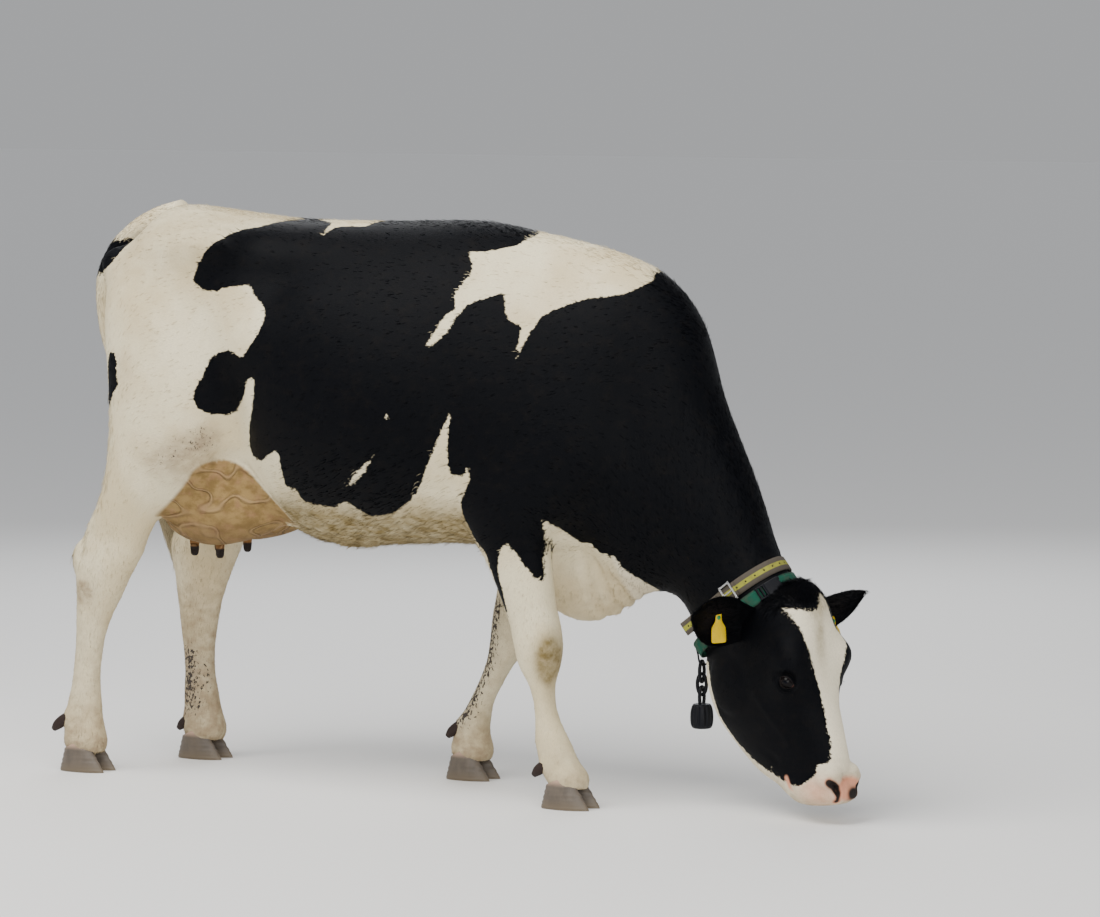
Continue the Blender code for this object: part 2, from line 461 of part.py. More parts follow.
def smoothed(target, rounds, weight=1.0, shares=(0.5, -0.52)):
    """Rounds off the seams between lofts without shrinking: each round smooths, then pushes back."""
    mesh = target.data
    points = points_of(mesh)
    ends = np.empty(len(mesh.edges) * 2, int)
    mesh.edges.foreach_get("vertices", ends)
    ends = ends.reshape(-1, 2)
    tail, tip = np.concatenate([ends[:, 0], ends[:, 1]]), np.concatenate([ends[:, 1], ends[:, 0]])
    degree = np.bincount(tail, minlength=len(points))[:, None]
    for _ in range(rounds):
        for share in shares:
            total = np.stack([np.bincount(tail, points[tip, k], len(points)) for k in range(3)], 1)
            points += weight * share * (total / degree - points)
    mesh.vertices.foreach_set("co", points.ravel())
    mesh.update()
    return target


def body_weight(points):
    """1 on the trunk, shoulders and neck, falling to 0 on the legs and the head."""
    x, z = points[:, 0], points[:, 2]
    above = np.clip((z - 0.66) / 0.12, 0, 1)
    behind = np.clip((0.62 - (0.6 * (x - 0.62) + 0.8 * (0.95 - z)) - 0.17) / 0.12, 0, 1)
    return (above * behind)[:, None]


def pushed(target, centre, radii, height):
    """Raises or, with a negative height, lowers the surface near a point, as a bell curve."""
    mesh = target.data
    points = points_of(mesh)
    normals = np.empty(len(points) * 3, np.float32)
    mesh.vertex_normals.foreach_get("vector", normals)
    away = (((points - centre) / radii) ** 2).sum(axis=1)
    points += normals.reshape(-1, 3) * (height * np.exp(-away))[:, None]
    mesh.vertices.foreach_set("co", points.ravel())
    mesh.update()


def thinned(target, triangles):
    target.modifiers.new("Triangulate", "TRIANGULATE")
    applied(target)
    thin = target.modifiers.new("Decimate", "DECIMATE")
    thin.ratio = min(1.0, triangles / len(target.data.polygons))
    return applied(target)


def fresh_material(name, colour, roughness, metallic=0.0):
    material = bpy.data.materials.new(name)
    material.use_nodes = True
    shader = material.node_tree.nodes["Principled BSDF"]
    shader.inputs["Base Color"].default_value = (*colour, 1.0)
    shader.inputs["Roughness"].default_value = roughness
    shader.inputs["Metallic"].default_value = metallic
    return material


def make_flesh():
    """Head, neck, trunk and legs as one skin."""
    lofts = {
        "trunk": (TRUNK, False),
        "pelvis": (PELVIS, False),
        "neck": (NECK, True),
        "head": (HEAD, True),
        "brisket": (BRISKET, False),
        "near_fore": (NEAR_FORE, False),
        "far_fore": (FAR_FORE, False),
        "near_hind": (NEAR_HIND, False),
        "far_hind": (FAR_HIND, False),
    }
    pieces = []
    for name, (rows, head) in lofts.items():
        rings = side_rings(rows, 3, 40)
        pieces.append(skinned(name, turned(rings) if head else rings))
    for centre, radii, tilt in LUMPS:
        pieces += [lump("lump", place, radii, tilt, False) for place in both_sides(centre)]
    for centre, radii, tilt in HEAD_LUMPS:
        pieces += [lump("lump", place, radii, tilt, True) for place in both_sides(centre)]
    flesh = joined(pieces, "flesh")
    remesh = flesh.modifiers.new("Remesh", "REMESH")
    remesh.mode = "VOXEL"
    remesh.voxel_size = VOXEL
    applied(flesh)
    smoothed(flesh, 12)
    smoothed(flesh, 30, body_weight(points_of(flesh.data)), (0.6,))
    for centre, radii, height in HOLLOWS:
        for place in both_sides(centre):
            pushed(flesh, place, radii, height)
    return flesh


def grown(source, by):
    """A copy of a closed mesh with every point moved outwards."""
    copy = bpy.data.objects.new(source.name + "_grown", source.data.copy())
    bpy.context.scene.collection.objects.link(copy)
    points = points_of(copy.data)
    normals = np.empty(len(points) * 3, np.float32)
    copy.data.vertex_normals.foreach_get("vector", normals)
    copy.data.vertices.foreach_set("co", (points + by * normals.reshape(-1, 3)).ravel())
    copy.data.update()
    return copy


def largest_body(target):
    """Leaves only the biggest of the pieces that a cut has made."""
    body = bmesh.new()
    body.from_mesh(target.data)
    unseen = set(body.verts)
    groups = []
    while unseen:
        group, border = set(), [unseen.pop()]
        while border:
            vert = border.pop()
            group.add(vert)
            for edge in vert.link_edges:
                other = edge.other_vert(vert)
                if other in unseen:
                    unseen.remove(other)
                    border.append(other)
        groups.append(group)
    keep = max(groups, key=len)
    bmesh.ops.delete(body, geom=[v for v in body.verts if v not in keep], context="VERTS")
    body.to_mesh(target.data)
    body.free()
    return target


def cut(target, cutter, operation):
    change = target.modifiers.new("Cut", "BOOLEAN")
    change.operation = operation
    change.object = cutter
    change.solver = "EXACT"
    return largest_body(applied(target))


def carved(target, neighbour, gap=GAP):
    """The target less its neighbour, with a thin gap all round."""
    wide = grown(neighbour, gap)
    cut(target, wide, "DIFFERENCE")
    remove(wide)
    return target


def cell(origin, turn, size, grow):
    """A box whose first face's middle is at the origin. It runs size[0] along its own X axis, which is turned
    about Y, and size[1] and size[2] are its half sizes across."""
    body = bmesh.new()
    bmesh.ops.create_cube(body, size=2.0)
    scale = Matrix.Diagonal((size[0] / 2 + grow, size[1] + grow, size[2] + grow, 1))
    place = Matrix.Translation(origin) @ Matrix.Rotation(math.radians(turn), 4, "Y")
    bmesh.ops.transform(body, matrix=place @ Matrix.Translation((size[0] / 2, 0, 0)) @ scale, verts=body.verts)
    mesh = bpy.data.meshes.new("cell")
    body.to_mesh(mesh)
    body.free()
    made = bpy.data.objects.new("cell", mesh)
    bpy.context.scene.collection.objects.link(made)
    return made


def parted(whole, name, origin, turn, size):
    """Cuts what lies in the cell away from the whole and returns it, with a gap between the two."""
    piece = bpy.data.objects.new(name, whole.data.copy())
    bpy.context.scene.collection.objects.link(piece)
    inner, outer = cell(origin, turn, size, 0.0), cell(origin, turn, size, GAP)
    cut(piece, inner, "INTERSECT")
    cut(whole, outer, "DIFFERENCE")
    remove(inner, outer)
    return piece


def make_udder(flesh):
    halves = []
    for side in (1, -1):
        rows = [(*row[:4], side * row[4], *row[5:]) for row in UDDER]
        halves.append(skinned("half", side_rings(rows, 3, 28)))
    udder = joined(halves, "udder")
    remesh = udder.modifiers.new("Remesh", "REMESH")
    remesh.mode = "VOXEL"
    remesh.voxel_size = VOXEL
    smoothed(applied(udder), 14)
    return carved(thinned(udder, 260), flesh, 4 * GAP)


def make_teats(udder):
    """Each teat hangs from the udder and narrows to a blunt tip."""
    teats = []
    for name, x, y in TEATS:
        rows = [(x, y, TEAT_TIP + TEAT_LENGTH * share, TEAT_RADIUS * wide) for share, wide in TEAT_PROFILE]
        teats.append(carved(skinned(name, path_rings(rows, 1, 8)), udder))
    return teats


def ear_rings(rows):
    """Sections of a cupped leaf: across from its upper to its lower edge, and bent back in the middle."""
    rows = smooth_rows(rows, 2)
    upper, lower, back = rows[:, 0:3], rows[:, 3:6], rows[:, 6:9]
    thick = rows[:, 9][:, None]
    turn = np.linspace(0, 2 * math.pi, 12, endpoint=False)[None]
    across, through = np.cos(turn), np.sin(turn)
    cup = (1 - across**2) * 1.0
    middle = ((upper + lower) / 2)[:, None]
    half = ((upper - lower) / 2)[:, None]
    length = np.linalg.norm(back, axis=1)[:, None]
    unit = (back / length)[:, None]
    return middle + half * across[:, :, None] + unit * (cup * length + through * thick)[:, :, None]


def make_ears(flesh):
    ears = []
    for name, rows in EARS.items():
        ears.append(carved(skinned(name, turned(ear_rings(rows))), flesh))
    return ears


def make_eyes():
    """Whole balls that stand a little out of the lids."""
    eyes = []
    for name, side in (("eye_left", 1), ("eye_right", -1)):
        x, y, z = EYE_PLACE
        radii = (EYE_RADIUS, EYE_RADIUS, EYE_RADIUS)
        eyes.append(lump(name, (x, side * y, z), radii, 0, True, 2))
    return eyes


def make_tail(flesh):
    tail = carved(skinned("tail_tip", path_rings(TAIL, 2, 8)), flesh)
    root = parted(tail, "tail_root", (-1.0, 0, TAIL_CUTS[0]), -90, (0.6, 0.3, 0.3))
    middle = parted(tail, "tail_middle", (-1.0, 0, TAIL_CUTS[1]), -90, (0.6, 0.3, 0.3))
    return [root, middle, tail]


def claw_rings(heel, toe, y, side):
    """Level sections of one claw, from the flat sole up to the coronet. The toe wall slopes, and the side
    that faces the other claw is flat."""
    height = CLAW_HEIGHTS[:, None]
    share = height / CLAW_HEIGHTS[-1]
    front = toe - 0.052 * share
    back = heel + 0.004 * share
    half = CLAW_WIDTH / 2 * (1 - 0.06 * share)
    turn = np.linspace(0, 2 * math.pi, 12, endpoint=False)[None]
    across, along = np.sin(turn), np.cos(turn)
    reach = (np.abs(across) ** 2.4 + np.abs(along) ** 2.4) ** (-1 / 2.4)
    x = (front + back) / 2 + (front - back) / 2 * along * reach
    pointed = 1 - 0.38 * np.clip(along, 0, 1) ** 2
    out = across * reach * pointed * half * np.where(across * side > 0, 1.0, 0.86)
    rings = np.stack([x, y + out, np.broadcast_to(height, x.shape)], 2)
    low_heel = np.clip((front - x) / (front - back) - 0.35, 0, 1) * 0.030 * share
    rings[:, :, 2] -= low_heel
    return rings


def make_feet(flesh):
    """Two claws and two dewclaws on each foot."""
    pieces = []
    for foot, (heel, toe, y, dew_x, dew_z) in FEET.items():
        for place, side in (("left", 1), ("right", -1)):
            rings = claw_rings(heel, toe, y + side * (CLAW_WIDTH / 2 + 0.002), side)
            pieces.append(carved(skinned(f"claw_{foot}_{place}", rings), flesh))
            rows = [
                (dew_x + 0.030, y + side * 0.024, dew_z + 0.022, 0.014),
                (dew_x + 0.012, y + side * 0.027, dew_z + 0.010, 0.0155),
                (dew_x - 0.006, y + side * 0.029, dew_z - 0.004, 0.014),
                (dew_x - 0.018, y + side * 0.030, dew_z - 0.016, 0.008),
            ]
            pieces.append(carved(skinned(f"dewclaw_{foot}_{place}", path_rings(rows, 1, 6)), flesh))
    return pieces


def collar_path(surface, origin, tilt, count, sag=0.0):
    """Points where rays from around a tilted loop meet the neck, and the outward direction at each."""
    tree = BVHTree.FromObject(surface, bpy.context.evaluated_depsgraph_get())
    origin = Vector(origin)
    ahead = Vector((math.cos(math.radians(tilt)), 0, math.sin(math.radians(tilt))))
    points, outs = [], []
    for k in range(count):
        turn = 2 * math.pi * k / count
        out = ahead * math.cos(turn) + Vector((0, 1, 0)) * math.sin(turn)
        hit = tree.ray_cast(origin + out * 0.5, -out)[0]
        points.append(hit)
        outs.append(out)
    points, outs = np.array(points), np.array(outs)
    reach = ((points - np.array(origin)) * outs).sum(axis=1)
    smooth = (np.roll(reach, 1) + 2 * reach + np.roll(reach, -1)) / 4
    low = np.clip(-np.cos(2 * math.pi * np.arange(count) / count), 0, 1) ** 2
    reach = np.maximum(smooth, reach) + 0.002 + sag * low
    return np.array(origin) + outs * reach[:, None], outs


def band(name, points, outs, along, width, thick, closed=True):
    """A flat strap that follows the points: a rectangle across, width along the neck and thick outwards."""
    rings = []
    for a, b in ((-0.5, 0), (0.5, 0), (0.5, 1), (-0.5, 1)):
        rings.append(points + a * width * along + b * thick * outs)
    rings = np.stack(rings, 1)
    if not closed:
        return skinned(name, rings)
    count = len(rings)
    faces = []
    for i in range(count):
        j = (i + 1) % count
        for k in range(4):
            a, b = i * 4 + k, i * 4 + (k + 1) % 4
            faces.append((a, b, j * 4 + (k + 1) % 4, j * 4 + k))
    return new_object(name, rings.reshape(-1, 3), faces)


def along_strap():
    tilt = math.radians(STRAP_TILT)
    return np.array([math.sin(tilt), 0.0, -math.cos(tilt)])


def make_straps(flesh):
    """Two collars round the top of the neck. Returns each one's path, outward directions and thickness."""
    paths = {}
    for name, origin, width, thick, sag in STRAPS:
        points, outs = collar_path(flesh, origin, STRAP_TILT, 28, sag)
        carved(band(name, points, outs, along_strap(), width, thick), flesh)
        paths[name] = (points, outs, thick)
    return paths


def on_strap(path, degrees, out_by):
    """A point at an angle round a collar, off its outer face by a distance, and the directions there."""
    points, outs, thick = path
    place = (degrees % 360) / 360 * len(points)
    first = int(place)
    share = place - first
    near, after = first % len(points), (first + 1) % len(points)
    out = outs[near] * (1 - share) + outs[after] * share
    out /= np.linalg.norm(out)
    point = points[near] * (1 - share) + points[after] * share + out * (thick + out_by)
    onward = points[after] - points[near]
    return point, onward / np.linalg.norm(onward), out


def cleared(piece, path):
    """The piece less a collar, with a thin gap over its outer face."""
    points, outs, thick = path
    strap = band("strap", points - 0.01 * outs, outs, along_strap(), 0.042, thick + 0.01 + GAP)
    cut(piece, strap, "DIFFERENCE")
    remove(strap)
    return piece


def make_strap_end(path, width, thick):
    """The free end of the upper collar lies on it from the buckle on and then stands off."""
    points = np.array([on_strap(path, degrees, GAP + off)[0] for degrees, off in STRAP_END])
    onward = np.gradient(points, axis=0)
    outs = np.cross(onward, along_strap())
    outs /= np.linalg.norm(outs, axis=1)[:, None]
    outs *= np.sign((outs * (points - np.array(STRAPS[0][1]))).sum(axis=1))[:, None]
    return cleared(band("collar_end", points, outs, along_strap(), width - 0.002, thick, False), path)


def box(name, centre, axes, sizes, rounded=0.0):
    """A box on three given directions, with its edges cut off."""
    body = bmesh.new()
    bmesh.ops.create_cube(body, size=1.0)
    bmesh.ops.scale(body, vec=sizes, verts=body.verts)
    if rounded:
        bmesh.ops.bevel(body, geom=body.edges[:], offset=rounded, segments=1, affect="EDGES")
    frame = Matrix([Vector(a).normalized() for a in axes]).transposed().to_4x4()
    bmesh.ops.transform(body, matrix=Matrix.Translation(centre) @ frame, verts=body.verts)
    points = [tuple(v.co) for v in body.verts]
    faces = [tuple(v.index for v in f.verts) for f in body.faces]
    body.free()
    return new_object(name, points, faces)


def make_buckle(path, end_thick):
    """A flat metal frame over the upper collar and its free end."""
    point, onward, out = on_strap(path, BUCKLE_TURN, GAP * 2 + end_thick + 0.0035)
    axes = (onward, np.cross(out, onward), out)
    frame = box("buckle", point, axes, (0.034, 0.050, 0.0035), 0.0008)
    hole = box("hole", point, axes, (0.024, 0.040, 0.02))
    cut(frame, hole, "DIFFERENCE")
    remove(hole)
    return frame


def make_clip(path):
    point, onward, out = on_strap(path, CLIP_TURN, 0.004)
    axes = (onward, np.cross(out, onward), out)
    clip = box("collar_clip", point, axes, (0.066, 0.034, 0.011), 0.002)
    return cleared(clip, path)


def wire_loop(name, path, radius):
    """A closed round wire along a flat closed path."""
    path = np.array(path)
    onward = np.roll(path, -1, axis=0) - np.roll(path, 1, axis=0)
    onward /= np.linalg.norm(onward, axis=1)[:, None]
    flat = np.cross(path[0] - path.mean(axis=0), path[1] - path.mean(axis=0))
    flat /= np.linalg.norm(flat)
    side = np.cross(onward, flat)
    turn = np.linspace(0, 2 * math.pi, 6, endpoint=False)[None, :, None]
    rings = path[:, None] + radius * (np.cos(turn) * side[:, None] + np.sin(turn) * flat)
    count = len(rings)
    faces = []
    for i in range(count):
        j = (i + 1) % count
        for k in range(6):
            a, b = (k + 1) % 6, k
            faces.append((i * 6 + a, i * 6 + b, j * 6 + b, j * 6 + a))
    return new_object(name, rings.reshape(-1, 3), faces)


def oval(centre, first, second):
    """Twelve points of an ellipse with the two given half axes."""
    turn = np.linspace(0, 2 * math.pi, 12, endpoint=False)[:, None]
    return np.array(centre) + np.cos(turn) * np.array(first) + np.sin(turn) * np.array(second)


def make_weight(path):
    """A fluted weight on two links, which hang from a ring round the lower collar."""
    low, onward, out = on_strap(path, 180.0, 0.0)
    along = along_strap()
    corners = [(-0.022, -0.008), (0.0, -0.009), (0.022, -0.008), (0.030, 0.004), (0.030, 0.015)]
    corners += [(0.026, 0.022), (0.016, 0.0235), (-0.002, 0.015), (-0.022, 0.006)]
    ring = [low + a * along + b * out for a, b in corners]
    wire_loop("weight_ring", ring, RINGS["weight_ring"])
    foot = low + 0.026 * along + 0.022 * out
    x, y, z = foot
    top = WEIGHT_FOOT + WEIGHT_HEIGHT
    step = (z - top) / 3
    upper = oval((x, y, z - 0.5 * step), (0, 0.0125, 0), (0, 0, step * 0.5 + 0.0100))
    lower = oval((x, y, z - 1.5 * step), (0.0125, 0, 0), (0, 0, step * 0.5 + 0.0100))
    wire_loop("weight_link_upper", upper, RINGS["weight_link_upper"])
    wire_loop("weight_link_lower", lower, RINGS["weight_link_lower"])
    height, share = np.array(WEIGHT_PROFILE).T
    turn = np.linspace(0, 2 * math.pi, 18, endpoint=False)[None]
    flute = 1 - 0.06 * (np.arange(18) % 3 == 0)[None]
    reach = WEIGHT_RADIUS * share[:, None] * flute
    level = WEIGHT_FOOT + WEIGHT_HEIGHT * height[:, None] + 0 * turn
    weight = skinned("weight", np.stack([x + reach * np.cos(turn), y + reach * np.sin(turn), level], 2))
    eye = wire_loop("eye", oval((x, y, top + 0.5 * step), (0, 0.0125, 0), (0, 0, step * 0.5 + 0.0100)), 0.0046)
    cut(weight, eye, "UNION")
    remove(eye)
    return weight


def make_tags(ears):
    """A flat plate with a pin button on each ear."""
    for name, (ear, start, across, down) in TAGS.items():
        across = np.array(across) / np.linalg.norm(across)
        down = np.array(down) / np.linalg.norm(down)
        ahead = np.cross(across, down)
        ahead *= -1 if ahead[0] < 0 else 1
        tree = BVHTree.FromObject(bpy.data.objects[ear], bpy.context.evaluated_depsgraph_get())
        hit = np.array(tree.ray_cast(Vector(start), Vector(-ahead))[0])
        pin = hit + 0.004 * ahead
        outline = [pin + 0.001 * (u * across + v * down) for u, v in TAG_OUTLINE]
        rings = np.stack([outline, [p + 0.002 * ahead for p in outline]])
        plate = skinned(name, rings)
        side = np.linspace(0, 2 * math.pi, 8, endpoint=False)[:, None]
        disc = 0.006 * (np.cos(side) * across + np.sin(side) * down)
        button = skinned("button", np.stack([pin + disc - 0.003 * ahead, pin + disc + 0.005 * ahead]))
        cut(plate, button, "UNION")
        remove(button)
        carved(plate, bpy.data.objects[ear])


def clear_scene():
    for old in list(bpy.data.objects):
        bpy.data.objects.remove(old)


def centred():
    """Moves everything so that the origin stands under the middle of the box, and prints what is left over."""
    bodies = list(bpy.data.objects)
    for body in bodies:
        points = points_of(body.data) + np.array([*SHIFT, 0.0])
        body.data.vertices.foreach_set("co", points.ravel())
        body.data.update()
    low = np.min([points_of(body.data).min(axis=0) for body in bodies], axis=0)
    high = np.max([points_of(body.data).max(axis=0) for body in bodies], axis=0)
    print("middle of the box:", (low + high) / 2)


def painted():
    """Gives each piece its own material, and shades the round pieces smooth."""
    for body in bpy.data.objects:
        colour, roughness, metallic = next(look for start, look in LOOKS if body.name.startswith(start))
        body.data.materials.clear()
        body.data.materials.append(fresh_material(body.name, colour, roughness, metallic))
        if not body.name.startswith(("ear_tag", "buckle", "collar", "weight")):
            body.data.shade_smooth()


def main():
    clear_scene()
    flesh = thinned(make_flesh(), FLESH_TRIANGLES)
    udder = make_udder(flesh)
    make_teats(udder)
    ears = make_ears(flesh)
    for eye in make_eyes():
        carved(flesh, eye)
    make_tail(flesh)
    make_feet(flesh)
    paths = make_straps(flesh)
    upper = STRAPS[0]
    make_strap_end(paths["collar_upper"], upper[2], upper[3])
    make_buckle(paths["collar_upper"], upper[3])
    carved(make_clip(paths["collar_lower"]), flesh)
    make_weight(paths["collar_lower"])
    for ear in ears:
        for path in paths.values():
            cleared(ear, path)
    make_tags(ears)
    for name, origin, turn, size in CELLS:
        parted(flesh, name, origin, turn, size)
        if "thigh" in name:
            carved(udder, bpy.data.objects[name])
    flesh.name = "trunk"
    centred()
    painted()


main()
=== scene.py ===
import math

import bmesh
import bpy
import numpy as np
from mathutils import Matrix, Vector
from mathutils.bvhtree import BVHTree


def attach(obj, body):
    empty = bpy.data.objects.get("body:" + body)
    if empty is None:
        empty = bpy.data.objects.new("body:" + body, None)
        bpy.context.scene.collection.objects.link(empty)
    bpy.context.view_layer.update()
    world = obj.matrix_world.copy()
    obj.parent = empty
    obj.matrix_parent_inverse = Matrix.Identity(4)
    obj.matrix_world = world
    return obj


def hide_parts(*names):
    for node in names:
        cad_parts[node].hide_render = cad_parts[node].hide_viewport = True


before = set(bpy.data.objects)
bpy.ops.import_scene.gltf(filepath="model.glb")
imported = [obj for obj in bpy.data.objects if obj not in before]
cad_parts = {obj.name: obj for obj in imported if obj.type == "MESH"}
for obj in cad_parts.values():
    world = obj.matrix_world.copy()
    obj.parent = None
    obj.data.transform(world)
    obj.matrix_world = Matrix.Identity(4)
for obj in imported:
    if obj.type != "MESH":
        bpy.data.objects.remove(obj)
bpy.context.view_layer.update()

# A life-size grazing dairy cow, in metres: +X is forward, +Y is the cow's left, +Z is up, and the floor is Z = 0.
# Lofts are joined by a voxel remesh into one skin, which bells and strokes then carve.
rng = np.random.default_rng(7)
shift = np.array([0.0088, 0.0005, 0.0])  # the lofts are written before this move

# Rows of a side loft: first x, first z, second x, second z, middle y, half width, place of the widest point,
# power 1 and power 2. A section runs through the two outline points, and power 2 is an ellipse. A table's own power
# stands where a row gives none.
def filled(power, rows):
    return [(*row, power, power)[:9] for row in rows]


trunkRows = filled(2, [
    (-0.99, 1.34, -1, 1.05, 0, 0.09, 0.6),
    (-0.95, 1.41, -0.95, 0.95, 0, 0.16, 0.62),
    (-0.87, 1.48, -0.87, 0.86, 0, 0.205, 0.66, 1.9, 2),
    (-0.75, 1.472, -0.75, 0.79, 0, 0.232, 0.72, 2.3, 2),
    (-0.62, 1.457, -0.62, 0.71, 0, 0.248, 0.7, 2.6, 2),
    (-0.5, 1.447, -0.5, 0.648, 0, 0.276, 0.56, 2.6, 2),
    (-0.35, 1.446, -0.35, 0.61, 0, 0.318, 0.47, 2.2, 2.1),
    (-0.15, 1.45, -0.15, 0.622, 0, 0.345, 0.44, 1.85, 2.1),
    (0.05, 1.455, 0.05, 0.63, 0, 0.325, 0.43, 1.75, 2.1),
    (0.22, 1.43, 0.22, 0.6, 0, 0.28, 0.43, 1.7, 2),
    (0.36, 1.405, 0.36, 0.6, 0, 0.24, 0.43, 1.7, 2),
    (0.48, 1.372, 0.48, 0.64, 0, 0.212, 0.43, 1.8, 2),
    (0.58, 1.31, 0.56, 0.72, 0, 0.165, 0.45, 1.9, 2),
])
pelvisRows = filled(2, [
    (-0.5, 1.435, -0.5, 1.27, 0, 0.185, 0.55, 2.2, 2),
    (-0.575, 1.442, -0.575, 1.27, 0, 0.25, 0.66, 2.6, 2),
    (-0.64, 1.45, -0.65, 1.22, 0, 0.254, 0.7, 2.4, 2),
    (-0.74, 1.462, -0.76, 1.12, 0, 0.242, 0.72, 2.1, 2),
    (-0.85, 1.446, -0.87, 1.08, 0, 0.222, 0.66),
    (-0.93, 1.405, -0.95, 1.12, 0, 0.188, 0.64),
    (-0.985, 1.365, -1, 1.18, 0, 0.16, 0.62, 2.2, 2),
    (-1.015, 1.335, -1.02, 1.24, 0, 0.13, 0.55, 2.2, 2),
])
neckRows = filled(2, [
    (0.4, 1.385, 0.27, 0.7, 0, 0.195, 0.42, 1.8, 2),
    (0.535, 1.352, 0.36, 0.62, 0, 0.205, 0.42, 1.8, 2),
    (0.632, 1.274, 0.43, 0.56, 0, 0.194, 0.42, 1.8, 2),
    (0.684, 1.18, 0.48, 0.53, 0, 0.172, 0.43, 1.8, 2),
    (0.72, 1.045, 0.535, 0.534, 0, 0.145, 0.45, 1.9, 2),
    (0.773, 0.922, 0.577, 0.533, 0, 0.128, 0.47),
    (0.824, 0.805, 0.606, 0.524, 0, 0.117, 0.5, 2.1, 2),
    (0.864, 0.692, 0.634, 0.502, 0, 0.108, 0.5, 2.1, 2),
    (0.914, 0.61, 0.664, 0.456, 0, 0.101, 0.5, 2.1, 2),
    (0.965, 0.57, 0.7, 0.405, 0, 0.09, 0.5, 2.1, 2),
])
headRows = filled(2, [
    (0.985, 0.588, 0.76, 0.53, 0, 0.05, 0.6),
    (1.015, 0.568, 0.725, 0.49, 0, 0.078, 0.62, 2.2, 2),
    (1.04, 0.53, 0.712, 0.445, 0, 0.094, 0.66, 2.4, 2),
    (1.05, 0.47, 0.696, 0.39, 0, 0.101, 0.72, 2.6, 2),
    (1.057, 0.405, 0.694, 0.335, 0, 0.104, 0.76, 2.6, 2),
    (1.068, 0.345, 0.709, 0.278, 0, 0.103, 0.7, 2.4, 2),
    (1.08, 0.29, 0.737, 0.226, 0, 0.092, 0.62, 2.2, 2),
    (1.097, 0.242, 0.776, 0.182, 0, 0.078, 0.6, 2.2, 2),
    (1.111, 0.195, 0.819, 0.142, 0, 0.069, 0.6, 2.2, 2.1),
    (1.121, 0.155, 0.868, 0.106, 0, 0.064, 0.58, 2.3, 2.2),
    (1.124, 0.12, 0.924, 0.082, 0, 0.066, 0.58, 2.4, 2.3),
    (1.133, 0.092, 0.958, 0.06, 0, 0.067, 0.6, 2.5, 2.4),
    (1.135, 0.066, 0.988, 0.044, 0, 0.06, 0.6, 2.5, 2.4),
    (1.114, 0.048, 1.02, 0.038, 0, 0.04, 0.6, 2.3, 2.2),
])
brisketRows = filled(2, [
    (0.14, 0.76, 0.15, 0.58, 0, 0.09, 0.5),
    (0.22, 0.8, 0.235, 0.495, 0, 0.105, 0.45),
    (0.3, 0.85, 0.3, 0.455, 0, 0.105, 0.4, 2, 1.9),
    (0.36, 0.88, 0.36, 0.448, 0, 0.096, 0.38, 2, 1.8),
    (0.43, 0.85, 0.43, 0.47, 0, 0.082, 0.38, 2, 1.8),
    (0.5, 0.8, 0.5, 0.514, 0, 0.068, 0.38, 2, 1.8),
    (0.56, 0.74, 0.56, 0.54, 0, 0.052, 0.38, 2, 1.8),
])
udderRows = filled(2, [
    (-0.915, 0.9, -0.9, 0.76, 0.05, 0.045, 0.5),
    (-0.87, 0.93, -0.865, 0.67, 0.07, 0.068, 0.5),
    (-0.8, 0.94, -0.805, 0.618, 0.082, 0.088, 0.42, 2, 2.1),
    (-0.71, 0.93, -0.71, 0.598, 0.088, 0.098, 0.4, 2, 2.2),
    (-0.62, 0.9, -0.62, 0.61, 0.086, 0.096, 0.4, 2, 2.2),
    (-0.54, 0.85, -0.535, 0.64, 0.078, 0.084, 0.42, 2, 2.1),
    (-0.46, 0.8, -0.455, 0.68, 0.062, 0.062, 0.5),
])
nearFore = filled(2.2, [
    (0.43, 1.335, 0.24, 1.35, -0.05, 0.045, 0.5),
    (0.48, 1.22, 0.2, 1.24, -0.106, 0.072, 0.5),
    (0.515, 1.04, 0.165, 1.09, -0.145, 0.086, 0.5),
    (0.52, 0.9, 0.115, 0.97, -0.165, 0.092, 0.55),
    (0.475, 0.8, 0.08, 0.87, -0.176, 0.09, 0.5),
    (0.405, 0.735, 0.078, 0.79, -0.182, 0.084, 0.5),
    (0.345, 0.688, 0.1, 0.7, -0.18, 0.073, 0.55),
    (0.338, 0.614, 0.156, 0.614, -0.175, 0.06, 0.55),
    (0.346, 0.517, 0.2, 0.517, -0.172, 0.052, 0.55),
    (0.358, 0.453, 0.223, 0.453, -0.17, 0.05, 0.6, 2.4, 2.2),
    (0.363, 0.396, 0.236, 0.396, -0.17, 0.051, 0.65, 2.6, 2.2),
    (0.356, 0.345, 0.25, 0.345, -0.17, 0.042, 0.65, 2.4, 2.2),
    (0.346, 0.3, 0.277, 0.3, -0.17, 0.033, 0.6),
    (0.35, 0.245, 0.293, 0.245, -0.17, 0.031, 0.55),
    (0.37, 0.198, 0.296, 0.198, -0.17, 0.034, 0.5),
    (0.394, 0.155, 0.297, 0.155, -0.17, 0.04, 0.5),
    (0.412, 0.118, 0.31, 0.118, -0.17, 0.041, 0.5),
    (0.435, 0.085, 0.325, 0.085, -0.17, 0.047, 0.5, 2.3, 2.3),
    (0.44, 0.05, 0.345, 0.05, -0.17, 0.044, 0.5, 2.3, 2.3),
])
